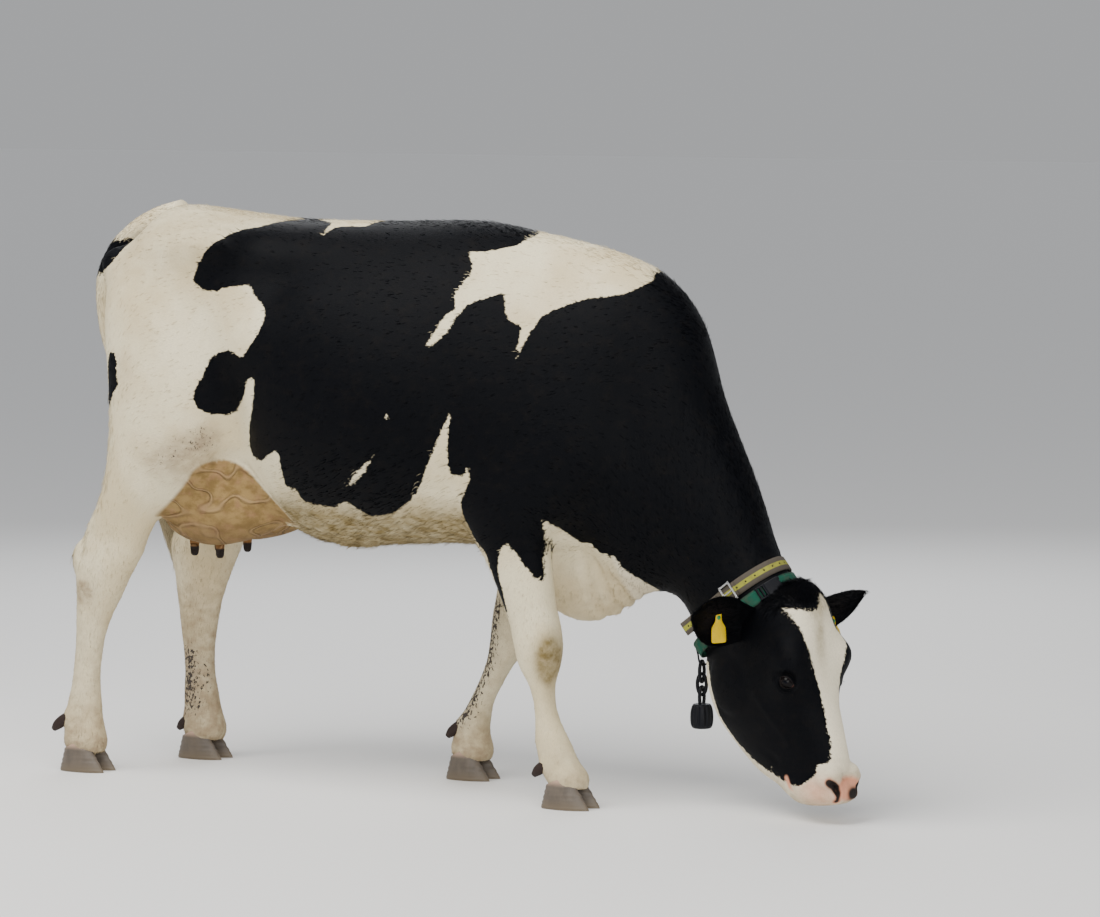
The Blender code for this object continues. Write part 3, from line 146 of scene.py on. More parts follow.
farFore = filled(2.2, [
    (0.42, 1.335, 0.22, 1.35, 0.05, 0.045, 0.5),
    (0.46, 1.22, 0.17, 1.24, 0.106, 0.072, 0.5),
    (0.485, 1.04, 0.115, 1.09, 0.145, 0.086, 0.5),
    (0.47, 0.92, 0.065, 0.96, 0.165, 0.092, 0.55),
    (0.41, 0.83, 0.02, 0.86, 0.178, 0.09, 0.5),
    (0.325, 0.76, 0.002, 0.775, 0.182, 0.084, 0.5),
    (0.25, 0.7, -0.002, 0.7, 0.18, 0.073, 0.55),
    (0.205, 0.62, 0.005, 0.61, 0.175, 0.06, 0.55),
    (0.155, 0.525, -0.005, 0.505, 0.172, 0.052, 0.55),
    (0.128, 0.46, -0.017, 0.44, 0.17, 0.05, 0.6, 2.4, 2.2),
    (0.108, 0.405, -0.024, 0.385, 0.17, 0.051, 0.65, 2.6, 2.2),
    (0.078, 0.348, -0.034, 0.325, 0.17, 0.042, 0.65, 2.4, 2.2),
    (0.036, 0.3, -0.05, 0.28, 0.17, 0.033, 0.6),
    (0.004, 0.248, -0.073, 0.232, 0.17, 0.031, 0.55),
    (-0.02, 0.205, -0.096, 0.19, 0.17, 0.034, 0.5),
    (-0.032, 0.16, -0.118, 0.15, 0.17, 0.04, 0.5),
    (-0.034, 0.12, -0.132, 0.115, 0.17, 0.041, 0.5),
    (-0.028, 0.085, -0.138, 0.085, 0.17, 0.047, 0.5, 2.3, 2.3),
    (-0.03, 0.05, -0.128, 0.05, 0.17, 0.044, 0.5, 2.3, 2.3),
])
nearHind = filled(2.2, [
    (-0.62, 1.33, -0.985, 1.31, -0.135, 0.085, 0.5),
    (-0.58, 1.2, -0.995, 1.2, -0.15, 0.103, 0.5),
    (-0.56, 1.08, -0.98, 1.09, -0.16, 0.11, 0.5),
    (-0.56, 0.965, -0.965, 0.98, -0.172, 0.108, 0.5),
    (-0.585, 0.875, -0.962, 0.885, -0.18, 0.098, 0.5),
    (-0.665, 0.795, -0.97, 0.805, -0.185, 0.083, 0.5),
    (-0.745, 0.735, -0.984, 0.745, -0.186, 0.069, 0.5),
    (-0.808, 0.683, -1.009, 0.683, -0.184, 0.057, 0.5),
    (-0.848, 0.625, -1.05, 0.625, -0.182, 0.05, 0.55, 2.2, 1.7),
    (-0.868, 0.58, -1.082, 0.58, -0.18, 0.05, 0.6, 2.2, 1.7),
    (-0.89, 0.545, -1.085, 0.545, -0.18, 0.05, 0.6, 2.2, 1.8),
    (-0.914, 0.505, -1.071, 0.505, -0.18, 0.046, 0.6, 2.2, 2),
    (-0.937, 0.46, -1.069, 0.46, -0.18, 0.041, 0.6, 2.2, 2.1),
    (-0.965, 0.41, -1.07, 0.41, -0.18, 0.036, 0.55),
    (-0.988, 0.35, -1.073, 0.35, -0.18, 0.031, 0.55),
    (-1, 0.285, -1.078, 0.285, -0.18, 0.03, 0.5),
    (-1.004, 0.23, -1.085, 0.23, -0.18, 0.032, 0.5),
    (-1.001, 0.175, -1.098, 0.175, -0.18, 0.039, 0.5),
    (-0.998, 0.135, -1.103, 0.135, -0.18, 0.041, 0.5),
    (-0.99, 0.085, -1.105, 0.085, -0.18, 0.047, 0.5, 2.3, 2.3),
    (-0.995, 0.05, -1.095, 0.05, -0.18, 0.044, 0.5, 2.3, 2.3),
])
farHind = filled(2.2, [
    (-0.62, 1.33, -0.99, 1.31, 0.14, 0.09, 0.5),
    (-0.565, 1.2, -1.008, 1.2, 0.155, 0.108, 0.5),
    (-0.53, 1.08, -0.993, 1.09, 0.165, 0.113, 0.5),
    (-0.52, 0.965, -0.972, 0.98, 0.175, 0.108, 0.5),
    (-0.535, 0.875, -0.953, 0.885, 0.182, 0.098, 0.5),
    (-0.6, 0.795, -0.945, 0.805, 0.186, 0.084, 0.5),
    (-0.67, 0.735, -0.945, 0.745, 0.186, 0.07, 0.5),
    (-0.725, 0.68, -0.955, 0.69, 0.184, 0.057, 0.5),
    (-0.765, 0.625, -0.985, 0.63, 0.182, 0.05, 0.55, 2.2, 1.7),
    (-0.785, 0.585, -1.01, 0.585, 0.18, 0.05, 0.6, 2.2, 1.7),
    (-0.805, 0.545, -1.012, 0.545, 0.18, 0.05, 0.6, 2.2, 1.8),
    (-0.824, 0.505, -1.002, 0.505, 0.18, 0.046, 0.6, 2.2, 2),
    (-0.842, 0.46, -0.995, 0.46, 0.18, 0.041, 0.6, 2.2, 2.1),
    (-0.855, 0.41, -0.988, 0.41, 0.18, 0.036, 0.55),
    (-0.87, 0.35, -0.981, 0.35, 0.18, 0.032, 0.55),
    (-0.878, 0.285, -0.972, 0.285, 0.18, 0.03, 0.5),
    (-0.878, 0.23, -0.967, 0.23, 0.18, 0.032, 0.5),
    (-0.87, 0.175, -0.968, 0.175, 0.18, 0.039, 0.5),
    (-0.862, 0.135, -0.967, 0.135, 0.18, 0.041, 0.5),
    (-0.85, 0.085, -0.965, 0.085, 0.18, 0.047, 0.5, 2.3, 2.3),
    (-0.857, 0.05, -0.957, 0.05, 0.18, 0.044, 0.5, 2.3, 2.3),
])
tailRows = [
    (-0.85, 0, 1.446, 0.045),
    (-0.92, 0, 1.428, 0.043),
    (-0.988, 0, 1.396, 0.04),
    (-1.052, 0.002, 1.345, 0.035),
    (-1.094, 0.006, 1.268, 0.03),
    (-1.106, 0.03, 1.14, 0.025),
    (-1.086, 0.078, 0.98, 0.021),
    (-1.058, 0.135, 0.82, 0.02),
    (-1.046, 0.19, 0.7, 0.022),
    (-1.05, 0.23, 0.61, 0.023),
    (-1.054, 0.248, 0.545, 0.015),
    (-1.055, 0.252, 0.512, 0.005),
]
earRows = {
    "ear_left": [
        (0.915, 0.07, 0.505, 0.885, 0.07, 0.45, -0.03, 0.01, 0.005, 0.02),
        (0.925, 0.12, 0.518, 0.88, 0.115, 0.44, -0.034, 0.01, 0.004, 0.009),
        (0.94, 0.17, 0.535, 0.895, 0.165, 0.436, -0.03, 0.006, 0.003, 0.006),
        (0.95, 0.225, 0.543, 0.911, 0.22, 0.45, -0.022, 0.004, 0.002, 0.005),
        (0.951, 0.27, 0.541, 0.928, 0.265, 0.479, -0.012, 0.002, 0, 0.004),
        (0.948, 0.3, 0.536, 0.942, 0.298, 0.52, -0.004, 0, 0, 0.003),
    ],
    "ear_right": [
        (0.905, -0.07, 0.515, 0.875, -0.07, 0.445, -0.03, -0.01, 0.005, 0.02),
        (0.905, -0.12, 0.535, 0.862, -0.115, 0.435, -0.034, -0.01, 0.004, 0.009),
        (0.905, -0.17, 0.555, 0.858, -0.165, 0.43, -0.032, -0.006, 0.003, 0.006),
        (0.9, -0.225, 0.56, 0.86, -0.22, 0.44, -0.024, -0.004, 0.002, 0.005),
        (0.895, -0.27, 0.548, 0.868, -0.265, 0.466, -0.014, -0.002, 0, 0.004),
        (0.888, -0.298, 0.528, 0.878, -0.296, 0.502, -0.004, 0, 0, 0.003),
    ],
}
bodyLumps = [
    ((-0.59, 0.215, 1.382), (0.065, 0.05, 0.044), 0),  # hook bone
    ((-0.99, 0.112, 1.325), (0.055, 0.048, 0.052), 15),  # pin bone
    ((-0.84, 0.17, 1.19), (0.13, 0.085, 0.13), 0),  # hip joint
]
headLumps = [
    ((0.858, 0.052, 0.332), (0.118, 0.048, 0.105), 12),  # cheek
    ((1.095, 0.034, 0.112), (0.038, 0.036, 0.04), 12),  # nostril wing
]
hollows = [
    ((-0.44, 0.24, 1.27), (0.09, 0.1, 0.085), -0.026),  # hunger hollow before the hook
    ((-0.76, 0.24, 1.33), (0.11, 0.1, 0.06), -0.01),  # between hook and pin
    ((-0.56, 0.26, 0.9), (0.06, 0.1, 0.12), -0.02),  # flank before the stifle
    ((0.12, 0.3, 1), (0.06, 0.1, 0.2), -0.01),  # behind the shoulder
    ((0.56, 0.2, 1.02), (0.06, 0.1, 0.16), -0.012),  # before the shoulder
]
teats = [
    ("teat_fore_left", -0.715, 0.088),
    ("teat_fore_right", -0.688, -0.088),
    ("teat_hind_left", -0.785, 0.058),
    ("teat_hind_right", -0.785, -0.058),
]

skinLook = {"voxel": 0.0125, "headVoxel": 0.0043, "coatDepth": 0.0015}  # a smaller voxel gives finer skin
eyeLook = {"radius": 0.019, "place": (1.014, 0.093, 0.349), "lid": 0.0028, "opening": (0.0195, 0.013)}
headTurn = 12.0  # degrees to the cow's right, about an upright line at x = 0.7


def unit(value):
    return np.clip(value, 0, 1)


# Each row at length one.
def unitRows(rows):
    return rows / np.linalg.norm(rows, axis=1)[:, None]


# Even angles once round.
def circle(count):
    return np.linspace(0, 2 * math.pi, count, endpoint=False)


# How far down the neck and head a place is, from its x and z.
def downNeck(x, z):
    return 0.6 * (x - 0.62) + 0.8 * (0.95 - z)


# The place, or with side -1 its mirror image.
def onSide(place, side):
    return place[0], side * place[1], place[2]


def bothSides(path):
    return path, [(x, -y, z) for x, y, z in path]


# p(t) = Catmull-Rom through the rows.
def smoothRows(rows, steps):
    rows = np.array(rows, float)
    ends = np.vstack([2 * rows[0] - rows[1], rows, 2 * rows[-1] - rows[-2]])
    place = np.linspace(0, len(rows) - 1, (len(rows) - 1) * steps + 1)
    first = np.minimum(place.astype(int), len(rows) - 2)
    t = (place - first)[:, None]
    a, b, c, d = (ends[first + k] for k in range(4))
    return 0.5 * (2 * b + (c - a) * t + (2 * a - 5 * b + 4 * c - d) * t**2 + (3 * b - a - 3 * c + d) * t**3)


# p(u, v) = second + (first - second) * share(v), pushed out in y by half * cos(v) * reach(v).
def sideRings(rows, steps, around):
    rows = smoothRows(rows, steps)
    first = np.stack([rows[:, 0], rows[:, 4], rows[:, 1]], 1)[:, None]
    second = np.stack([rows[:, 2], rows[:, 4], rows[:, 3]], 1)[:, None]
    half, widest, power1, power2 = (rows[:, k][:, None] for k in (5, 6, 7, 8))
    turn = circle(around)[None]
    side, along = np.cos(turn), np.sin(turn)
    power = np.where(along >= 0, power1, power2)
    reach = (np.abs(side) ** power + np.abs(along) ** power) ** (-1 / power)
    share = widest + np.where(along >= 0, 1 - widest, widest) * along * reach
    points = second + (first - second) * share[:, :, None]
    points[:, :, 1] += half * side * reach
    return points


# p(u, v) = path(u) + radius(u) * (side * cos(v) + other * sin(v)).
def pathRings(rows, steps, around, upright=(0.0, 1.0, 0.03)):
    rows = smoothRows(rows, steps)
    centre = rows[:, :3]
    along = unitRows(np.gradient(centre, axis=0))
    side = unitRows(np.cross(along, upright))
    other = np.cross(along, side)
    turn = circle(around)[None, :, None]
    out = np.cos(turn) * side[:, None] + np.sin(turn) * other[:, None]
    return centre[:, None] + rows[:, 3][:, None, None] * out


# Angle(p) = headTurn * smoothstep of how far down the neck p lies; p turns by it about x = 0.7.
def turned(points, back=False):
    x, y, z = points[..., 0], points[..., 1], points[..., 2]
    down = downNeck(x, z)
    share = unit((down - 0.25) / 0.25) * (x > 0.45)
    angle = math.radians(headTurn if back else -headTurn) * share * share * (3 - 2 * share)
    cos, sin = np.cos(angle), np.sin(angle)
    moved = points.copy()
    moved[..., 0] = 0.7 + (x - 0.7) * cos - y * sin
    moved[..., 1] = (x - 0.7) * sin + y * cos
    return moved


# p(u, v) = the unit sphere's (cos u cos v, cos u sin v, sin u), scaled by the radii, tilted about Y and moved.
def lumpRings(centre, radii, tilt, steps=18, around=30):
    u = np.linspace(-math.pi / 2, math.pi / 2, steps)[:, None]
    v = circle(around)[None]
    ball = np.stack([np.cos(u) * np.cos(v), np.cos(u) * np.sin(v), np.sin(u) + 0 * v], 2) * np.array(radii)
    c, s = math.cos(math.radians(tilt)), math.sin(math.radians(tilt))
    x = ball[:, :, 0] * c + ball[:, :, 2] * s
    z = -ball[:, :, 0] * s + ball[:, :, 2] * c
    return np.stack([x, ball[:, :, 1], z], 2) + np.array(centre)


# Quads (i, k), (i, k+1), (i+1, k+1), (i+1, k) over a grid whose rows close on themselves.
def gridQuads(count, around):
    i = np.arange(count - 1)[:, None]
    k = np.arange(around)[None]
    a = i * around + k
    b = i * around + (k + 1) % around
    return np.stack([a, b, b + around, a + around], 2).reshape(-1, 4)


# The rings with one more at each end, drawn in to its middle.
def capped(rings):
    first = np.repeat(rings[:1].mean(axis=1, keepdims=True), rings.shape[1], axis=1)
    last = np.repeat(rings[-1:].mean(axis=1, keepdims=True), rings.shape[1], axis=1)
    return np.concatenate([first, rings, last])


def meshOf(name, points, faces):
    mesh = bpy.data.meshes.new(name)
    mesh.vertices.add(len(points))
    mesh.vertices.foreach_set("co", np.ascontiguousarray(points, np.float32).ravel())
    mesh.loops.add(faces.size)
    mesh.loops.foreach_set("vertex_index", np.ascontiguousarray(faces, np.int32).ravel())
    mesh.polygons.add(len(faces))
    mesh.polygons.foreach_set("loop_start", np.arange(len(faces), dtype=np.int32) * faces.shape[1])
    mesh.update(calc_edges=True)
    mesh.validate()
    return mesh


def objectOf(name, data):
    made = bpy.data.objects.new(name, data)
    bpy.context.scene.collection.objects.link(made)
    return made


def arraysOf(mesh):
    points = np.empty(len(mesh.vertices) * 3)
    mesh.vertices.foreach_get("co", points)
    loops = np.empty(len(mesh.loops), int)
    mesh.loops.foreach_get("vertex_index", loops)
    return points.reshape(-1, 3), loops


# Grids put end to end as one array of points and one of quads.
def together(grids):
    points, quads, start = [], [], 0
    for rings in grids:
        count, around = rings.shape[:2]
        points.append(rings.reshape(-1, 3))
        quads.append(gridQuads(count, around) + start)
        start += count * around
    return np.concatenate(points), np.concatenate(quads)


# The mesh with points that meet made one, its open ends filled where asked, and its faces outward.
def cleaned(mesh, fill=False, weld=1e-6):
    body = bmesh.new()
    body.from_mesh(mesh)
    bmesh.ops.remove_doubles(body, verts=body.verts, dist=weld)
    if fill:
        bmesh.ops.holes_fill(body, edges=[edge for edge in body.edges if edge.is_boundary])
    bmesh.ops.recalc_face_normals(body, faces=body.faces)
    body.to_mesh(mesh)
    body.free()
    mesh.shade_smooth()
    return mesh


# A closed piece made of grids whose poles are points.
def solidOf(name, grids):
    return objectOf(name, cleaned(meshOf(name, *together(grids))))


def remeshed(grids, voxel):
    made = objectOf("lofts", meshOf("lofts", *together(grids)))
    change = made.modifiers.new("Remesh", "REMESH")
    change.mode = "VOXEL"
    change.voxel_size = voxel
    graph = bpy.context.evaluated_depsgraph_get()
    mesh = bpy.data.meshes.new_from_object(made.evaluated_get(graph))
    bpy.data.objects.remove(made)
    return mesh


def edgesOf(mesh):
    ends = np.empty(len(mesh.edges) * 2, int)
    mesh.edges.foreach_get("vertices", ends)
    return ends.reshape(-1, 2)


# p = p + weight * share * (mean of the neighbours - p), in turn with each share.
def smoothed(points, ends, rounds, weight=1.0, shares=(0.5, -0.52)):
    tail, tip = np.concatenate([ends[:, 0], ends[:, 1]]), np.concatenate([ends[:, 1], ends[:, 0]])
    degree = np.maximum(np.bincount(tail, minlength=len(points)), 1)[:, None]
    for _ in range(rounds):
        for share in shares:
            total = np.stack([np.bincount(tail, points[tip, k], len(points)) for k in range(3)], 1)
            points = points + weight * share * (total / degree - points)
    return points


def bodyWeight(points):
    x, z = points[:, 0], points[:, 2]
    above = unit((z - 0.66) / 0.12)
    behind = unit((0.62 - (downNeck(x, z)) - 0.17) / 0.12)
    return (above * behind)[:, None]


def cutAt(mesh, point, normal, ahead=-9.0):
    body = bmesh.new()
    body.from_mesh(mesh)
    faces = [face for face in body.faces if face.calc_center_median().x > ahead]
    geometry = list({vert for face in faces for vert in face.verts})
    geometry += list({edge for face in faces for edge in face.edges}) + faces
    bmesh.ops.bisect_plane(body, geom=geometry, plane_co=point, plane_no=normal, clear_outer=True)
    body.to_mesh(mesh)
    body.free()
    return mesh


print("stage: skin")
bodyTables = [trunkRows, pelvisRows, brisketRows, nearFore, farFore, nearHind, farHind]
udderTables = [[(*row[:4], side * row[4], *row[5:]) for row in udderRows] for side in (1, -1)]
lofts = [capped(sideRings(rows, 4, 48)) for rows in bodyTables + udderTables]
for centre, radii, tilt in bodyLumps:
    for side in (1, -1):
        lofts.append(lumpRings(onSide(centre, side), radii, tilt))
headLofts = [capped(turned(sideRings(rows, 5, 64))) for rows in (neckRows, headRows)]
for centre, radii, tilt in headLumps:
    for side in (1, -1):
        headLofts.append(turned(lumpRings(onSide(centre, side), radii, tilt)))
collarPoint, collarNormal = Vector((0.8, 0, 0.517)), Vector((0.602, 0, -0.799))
bodySkin = remeshed(lofts + headLofts, skinLook["voxel"])
points, _ = arraysOf(bodySkin)
points = smoothed(points, edgesOf(bodySkin), 12)
points = smoothed(points, edgesOf(bodySkin), 30, bodyWeight(points), (0.6,))
bodySkin.vertices.foreach_set("co", points.ravel())
bodySkin = cutAt(bodySkin, collarPoint, collarNormal, 0.58)
headSkin = remeshed(headLofts, skinLook["headVoxel"])
points, _ = arraysOf(headSkin)
points = smoothed(points, edgesOf(headSkin), 70)
headSkin.vertices.foreach_set("co", points.ravel())
headSkin = cutAt(headSkin, collarPoint + collarNormal * 0.004, -collarNormal)
whole = bmesh.new()
whole.from_mesh(bodySkin)
whole.from_mesh(headSkin)
border = [edge for edge in whole.edges if edge.is_boundary]
print("border edges", len(border))
bmesh.ops.bridge_loops(whole, edges=border)
bmesh.ops.triangulate(whole, faces=[face for face in whole.faces if len(face.verts) > 4])
bmesh.ops.recalc_face_normals(whole, faces=whole.faces)
skin = bpy.data.meshes.new("skin")
whole.to_mesh(skin)
print("open edges", sum(edge.is_boundary for edge in whole.edges))
whole.free()
ends = edgesOf(skin)
points, _ = arraysOf(skin)
away = np.abs((points - np.array(collarPoint)) @ np.array(collarNormal))[:, None]
nearCollar = np.exp(-((away / 0.02) ** 2)) * (points[:, :1] > 0.6) * (points[:, 2:] < 0.75)
points = smoothed(points, ends, 8, nearCollar)


def normalsOf(mesh, points):
    mesh.vertices.foreach_set("co", np.ascontiguousarray(points, np.float32).ravel())
    mesh.update()
    normals = np.empty(len(points) * 3, np.float32)
    mesh.vertex_normals.foreach_get("vector", normals)
    return normals.reshape(-1, 3).astype(float)


# Height(p) = height * exp(-|((p - centre) / radii)|^2), along the normal.
def bell(places, centre, radii, height=1.0):
    return height * np.exp(-(((places - np.array(centre)) / np.array(radii)) ** 2).sum(axis=1))


# Distance from each place to a path of straight lengths, and how far along the nearest point is, 0 to 1.
def pathDistance(places, path):
    path = np.array(path, float)
    best = np.full(len(places), 1e9)
    share = np.zeros(len(places))
    for k in range(len(path) - 1):
        step = path[k + 1] - path[k]
        t = unit(((places - path[k]) @ step) / (step @ step))
        gap = np.linalg.norm(places - path[k] - t[:, None] * step, axis=1)
        nearer = gap < best
        best = np.where(nearer, gap, best)
        share = np.where(nearer, (k + t) / (len(path) - 1), share)
    return best, share


# Height(p) = height * exp(-(distance to the path / width)^2) * a fade towards both ends.
def stroke(places, path, width, height, fade=0.15):
    path = smoothRows(path, 6)
    low, high = path.min(axis=0) - 4 * width, path.max(axis=0) + 4 * width
    made = np.zeros(len(places))
    inside = ((places > low) & (places < high)).all(axis=1)
    gap, share = pathDistance(places[inside], path)
    ends = unit(share / fade) * unit((1 - share) / fade)
    made[inside] = height * np.exp(-((gap / width) ** 2)) * ends
    return made


print("stage: skin detail")


# exp(-(distance to the path / width)^2).
def band(places, path, width):
    return np.exp(-((pathDistance(places, path)[0] / width) ** 2))


def placed(path):
    return turned(np.array(path, float)) + shift


# Finer faces where the distance to a place is under the radius.
def refined(mesh, places, radius):
    body = bmesh.new()
    body.from_mesh(mesh)
    spots = [Vector(place) for place in places]
    near = [
        edge for edge in body.edges
        if any(
            (edge.verts[0].co - spot).length < radius and (edge.verts[1].co - spot).length < radius
            for spot in spots
        )
    ]
    bmesh.ops.subdivide_edges(body, edges=near, cuts=1, use_grid_fill=True)
    bmesh.ops.triangulate(body, faces=[face for face in body.faces if len(face.verts) > 4])
    body.to_mesh(mesh)
    body.free()


points += shift
skin.vertices.foreach_set("co", points.ravel())
px, py, pz = eyeLook["place"]
eyeSpots = [placed([(px + 0.008, side * (py + 0.016), pz)])[0] for side in (1, -1)]
muzzleSpots = placed([(1.115, 0.045, 0.095), (1.115, -0.045, 0.095), (1.12, 0.0, 0.08)])
refined(skin, eyeSpots, 0.045)
refined(skin, eyeSpots, 0.03)
refined(skin, muzzleSpots, 0.04)
points, _ = arraysOf(skin)
normals = normalsOf(skin, points)
flat = turned(points - shift, back=True)  # where each point is with the head straight
x, y, z = points.T
fx, fy, fz = flat.T

relief = np.zeros(len(points))


# A stroke on both sides of the relief, moved by right in x and up in z.
def carve(path, width, height, fade=0.15, right=0.0, up=0.0, way=np.array):
    for side in bothSides(path):
        moved = way([(px + right, py, pz + up) for px, py, pz in side])
        relief[:] += stroke(points, moved, width, height, fade)


for centre, radii, height in hollows:
    for side in (1, -1):
        relief += bell(points - shift, onSide(centre, side), radii, height)

# The brows stand out softly over the eyes.
for side in (1, -1):
    relief += bell(flat, (1.03, side * 0.098, 0.405), (0.046, 0.045, 0.048), 0.036 if side > 0 else 0.018)
    relief += bell(flat, (1.006, side * 0.098, 0.345), (0.045, 0.045, 0.042), 0.009)

# Ribs slant down and back; each is one stroke.
for k in range(7):
    start = 0.16 - 0.075 * k
    rib = [
        (start, -0.3, 1.26), (start - 0.035, -0.345, 1.13), (start - 0.075, -0.35, 0.98), (start - 0.1, -0.32, 0.86)
    ]
    carve(rib, 0.02, 0.0028, 0.3)

# Milk veins, the fold of the thigh over the udder and the edge of the udder.
veinPath = [
    (-0.42, -0.165, 0.69), (-0.323, -0.174, 0.668), (-0.239, -0.166, 0.658), (-0.151, -0.165, 0.662),
    (-0.051, -0.185, 0.681), (0.06, -0.235, 0.74)
]
foldPath = [
    (-0.8, -0.165, 0.692), (-0.745, -0.178, 0.736), (-0.7, -0.184, 0.78), (-0.65, -0.194, 0.826),
    (-0.606, -0.2, 0.838), (-0.565, -0.195, 0.826)
]
udderEdge = [
    (-0.565, -0.195, 0.826), (-0.52, -0.185, 0.792), (-0.483, -0.172, 0.756), (-0.45, -0.156, 0.716),
    (-0.42, -0.145, 0.678)
]
for path in bothSides(veinPath):
    relief += stroke(points, path, 0.012, 0.007, 0.12) * (1 + 0.35 * np.sin(x * 95) + 0.25 * np.sin(x * 41 + 1))
carve(foldPath, 0.014, -0.01)
carve(foldPath, 0.015, 0.005, right=-0.012, up=0.024)
carve(udderEdge, 0.013, -0.007)
carve(udderEdge, 0.014, 0.003, right=0.012, up=0.022)
carve([(-0.352, -0.05, 0.622), (-0.3, -0.03, 0.615), (-0.246, -0.006, 0.614)], 0.012, 0.007)

# Loose folds of the brisket stand upright on its front: each is a crease with a roll behind it.
for place, slant, deep in ((0.405, 0.1, 0.006), (0.452, 0.2, 0.008), (0.488, 0.3, 0.0065), (0.52, 0.42, 0.0045)):
    along = place - slant * (z - 0.52)
    window = unit((0.645 - z) / 0.06) * unit((0.13 - np.abs(y)) / 0.03) * (x > 0.34) * (z > 0.44)
    relief -= deep * window * np.exp(-(((x - along) / 0.0075) ** 2))
    relief += 0.7 * deep * window * np.exp(-(((x - along + 0.017) / 0.01) ** 2))

# The hollows before the hips.
for side in (1, -1):
    relief += bell(points, (-0.35, side * 0.21, 1.325), (0.15, 0.09, 0.05), -0.016)

# Each foot: heel, toe, middle, and the dewclaws' place and height.
feet = {
    "fore_left": (-0.145, -0.015, 0.17, -0.122, 0.126),
    "fore_right": (0.325, 0.462, -0.17, 0.322, 0.096),
    "hind_left": (-0.975, -0.838, 0.18, -0.955, 0.093),
    "hind_right": (-1.108, -0.972, -0.18, -1.11, 0.122),
}

# Skin that swells over the dewclaws' roots and round the claws' tops.
for heel, toe, y, dewX, dewZ in feet.values():
    relief += bell(points, ((heel + toe) / 2 + shift[0] - 0.012, y, 0.074), (0.062, 0.055, 0.022), 0.007)
    for side in (1, -1):
        relief += bell(
            points, (dewX + 0.02 + shift[0], y + side * 0.024, dewZ + 0.016), (0.024, 0.02, 0.022), 0.011
        )

# Tendons beside the cannon bones: leg, top, how far before the back edge, width and depth.
tendons = [(nearFore, 0.36, 0.018, 0.007, 0.0022), (farFore, 0.36, 0.018, 0.007, 0.0022)]
tendons += [(nearHind, 0.46, 0.02, 0.009, 0.0042), (farHind, 0.46, 0.02, 0.009, 0.0042)]
for rows, top, before, width, deep in tendons:
    line = [(row[2] + shift[0], row[4] + shift[1], row[3]) for row in rows if 0.1 < row[3] < top]
    for side in (1, -1):
        path = [(px + before, py + side * 0.018, pz) for px, py, pz in line]
        relief += stroke(points, path, width, -deep)

# The hock: a hollow before its tendon, a knob at its side, and the tendon's cord above it.
for side in (1, -1):
    hockX = -1.085 if side < 0 else -0.945
    relief += bell(points, (hockX + 0.048, side * 0.215, 0.6), (0.02, 0.04, 0.065), -0.01)
    relief += bell(points, (hockX + 0.06, side * 0.215, 0.49), (0.026, 0.04, 0.03), 0.006)
    relief += bell(points, (hockX + 0.085, side * 0.215, 0.43), (0.016, 0.04, 0.04), -0.006)

# Folds of the throat and neck run round it.
for k in range(9):
    fold = [
        (0.52 + 0.03 * k, -0.075, 0.545 - 0.012 * k), (0.545 + 0.03 * k, -0.105, 0.6 - 0.012 * k),
        (0.6 + 0.03 * k, -0.125, 0.7 - 0.015 * k)
    ]
    carve(fold, 0.0055, -0.0022 - 0.0008 * (k % 3), 0.3, way=placed)

# Nostrils: a comma cut with a rim round it; the mouth line and the folds of the lips.
nostril = [
    (1.116, -0.06, 0.108), (1.121, -0.05, 0.102), (1.124, -0.041, 0.092), (1.124, -0.036, 0.082),
    (1.122, -0.034, 0.072), (1.119, -0.035, 0.063)
]
mouthLine = [
    (0.985, -0.06, 0.108), (0.995, -0.056, 0.088), (1.02, -0.052, 0.07), (1.052, -0.046, 0.06),
    (1.083, -0.03, 0.054), (1.096, 0.0, 0.052)
]
lipFold = [
    (1.098, -0.07, 0.13), (1.112, -0.052, 0.122), (1.124, -0.03, 0.118), (1.128, -0.01, 0.117),
    (1.126, 0.015, 0.118)
]
carve(nostril, 0.012, 0.005, 0.05, way=placed)
carve(nostril, 0.0066, -0.021, 0.08, way=placed)
carve(mouthLine, 0.0042, -0.0055, 0.08, way=placed)
carve(lipFold, 0.0045, -0.0042, way=placed)
carve(lipFold, 0.005, 0.0026, up=0.01, way=placed)

# Cheek, jaw and brow lines of the head.
jawLine = [(0.8, -0.098, 0.255), (0.86, -0.094, 0.205), (0.92, -0.08, 0.165), (0.97, -0.066, 0.14)]
cheekLine = [(0.905, -0.108, 0.33), (0.945, -0.1, 0.27), (0.985, -0.085, 0.215), (1.01, -0.072, 0.18)]
faceVein = [(1.045, -0.085, 0.3), (1.05, -0.075, 0.26), (1.062, -0.062, 0.215), (1.08, -0.055, 0.175)]
carve(jawLine, 0.012, -0.003, way=placed)
carve(cheekLine, 0.01, 0.0024, way=placed)
carve(faceVein, 0.005, 0.0016, way=placed)
points += normals * (relief - skinLook["coatDepth"])[:, None]
points = smoothed(points, ends if len(ends) == len(skin.edges) else edgesOf(skin), 1)


# Axes of an eye: outwards, towards its inner corner, and up.
def eyeAxes(side):
    out = np.array([0.34, side * 0.93, 0.1])
    inner = np.array([0.8, -side * 0.3, -0.52])
    inner -= out * (out @ inner) / (out @ out)
    x, y, z = eyeLook["place"]
    middle = turned(np.array([[x, side * y, z]]))[0]
    angle = math.radians(-headTurn)
    spin = np.array([[math.cos(angle), -math.sin(angle), 0], [math.sin(angle), math.cos(angle), 0], [0, 0, 1]])
    out, inner = spin @ out, spin @ inner
    out /= np.linalg.norm(out)
    inner /= np.linalg.norm(inner)
    up = np.cross(out, inner) * side
    return middle + shift, out, inner, up


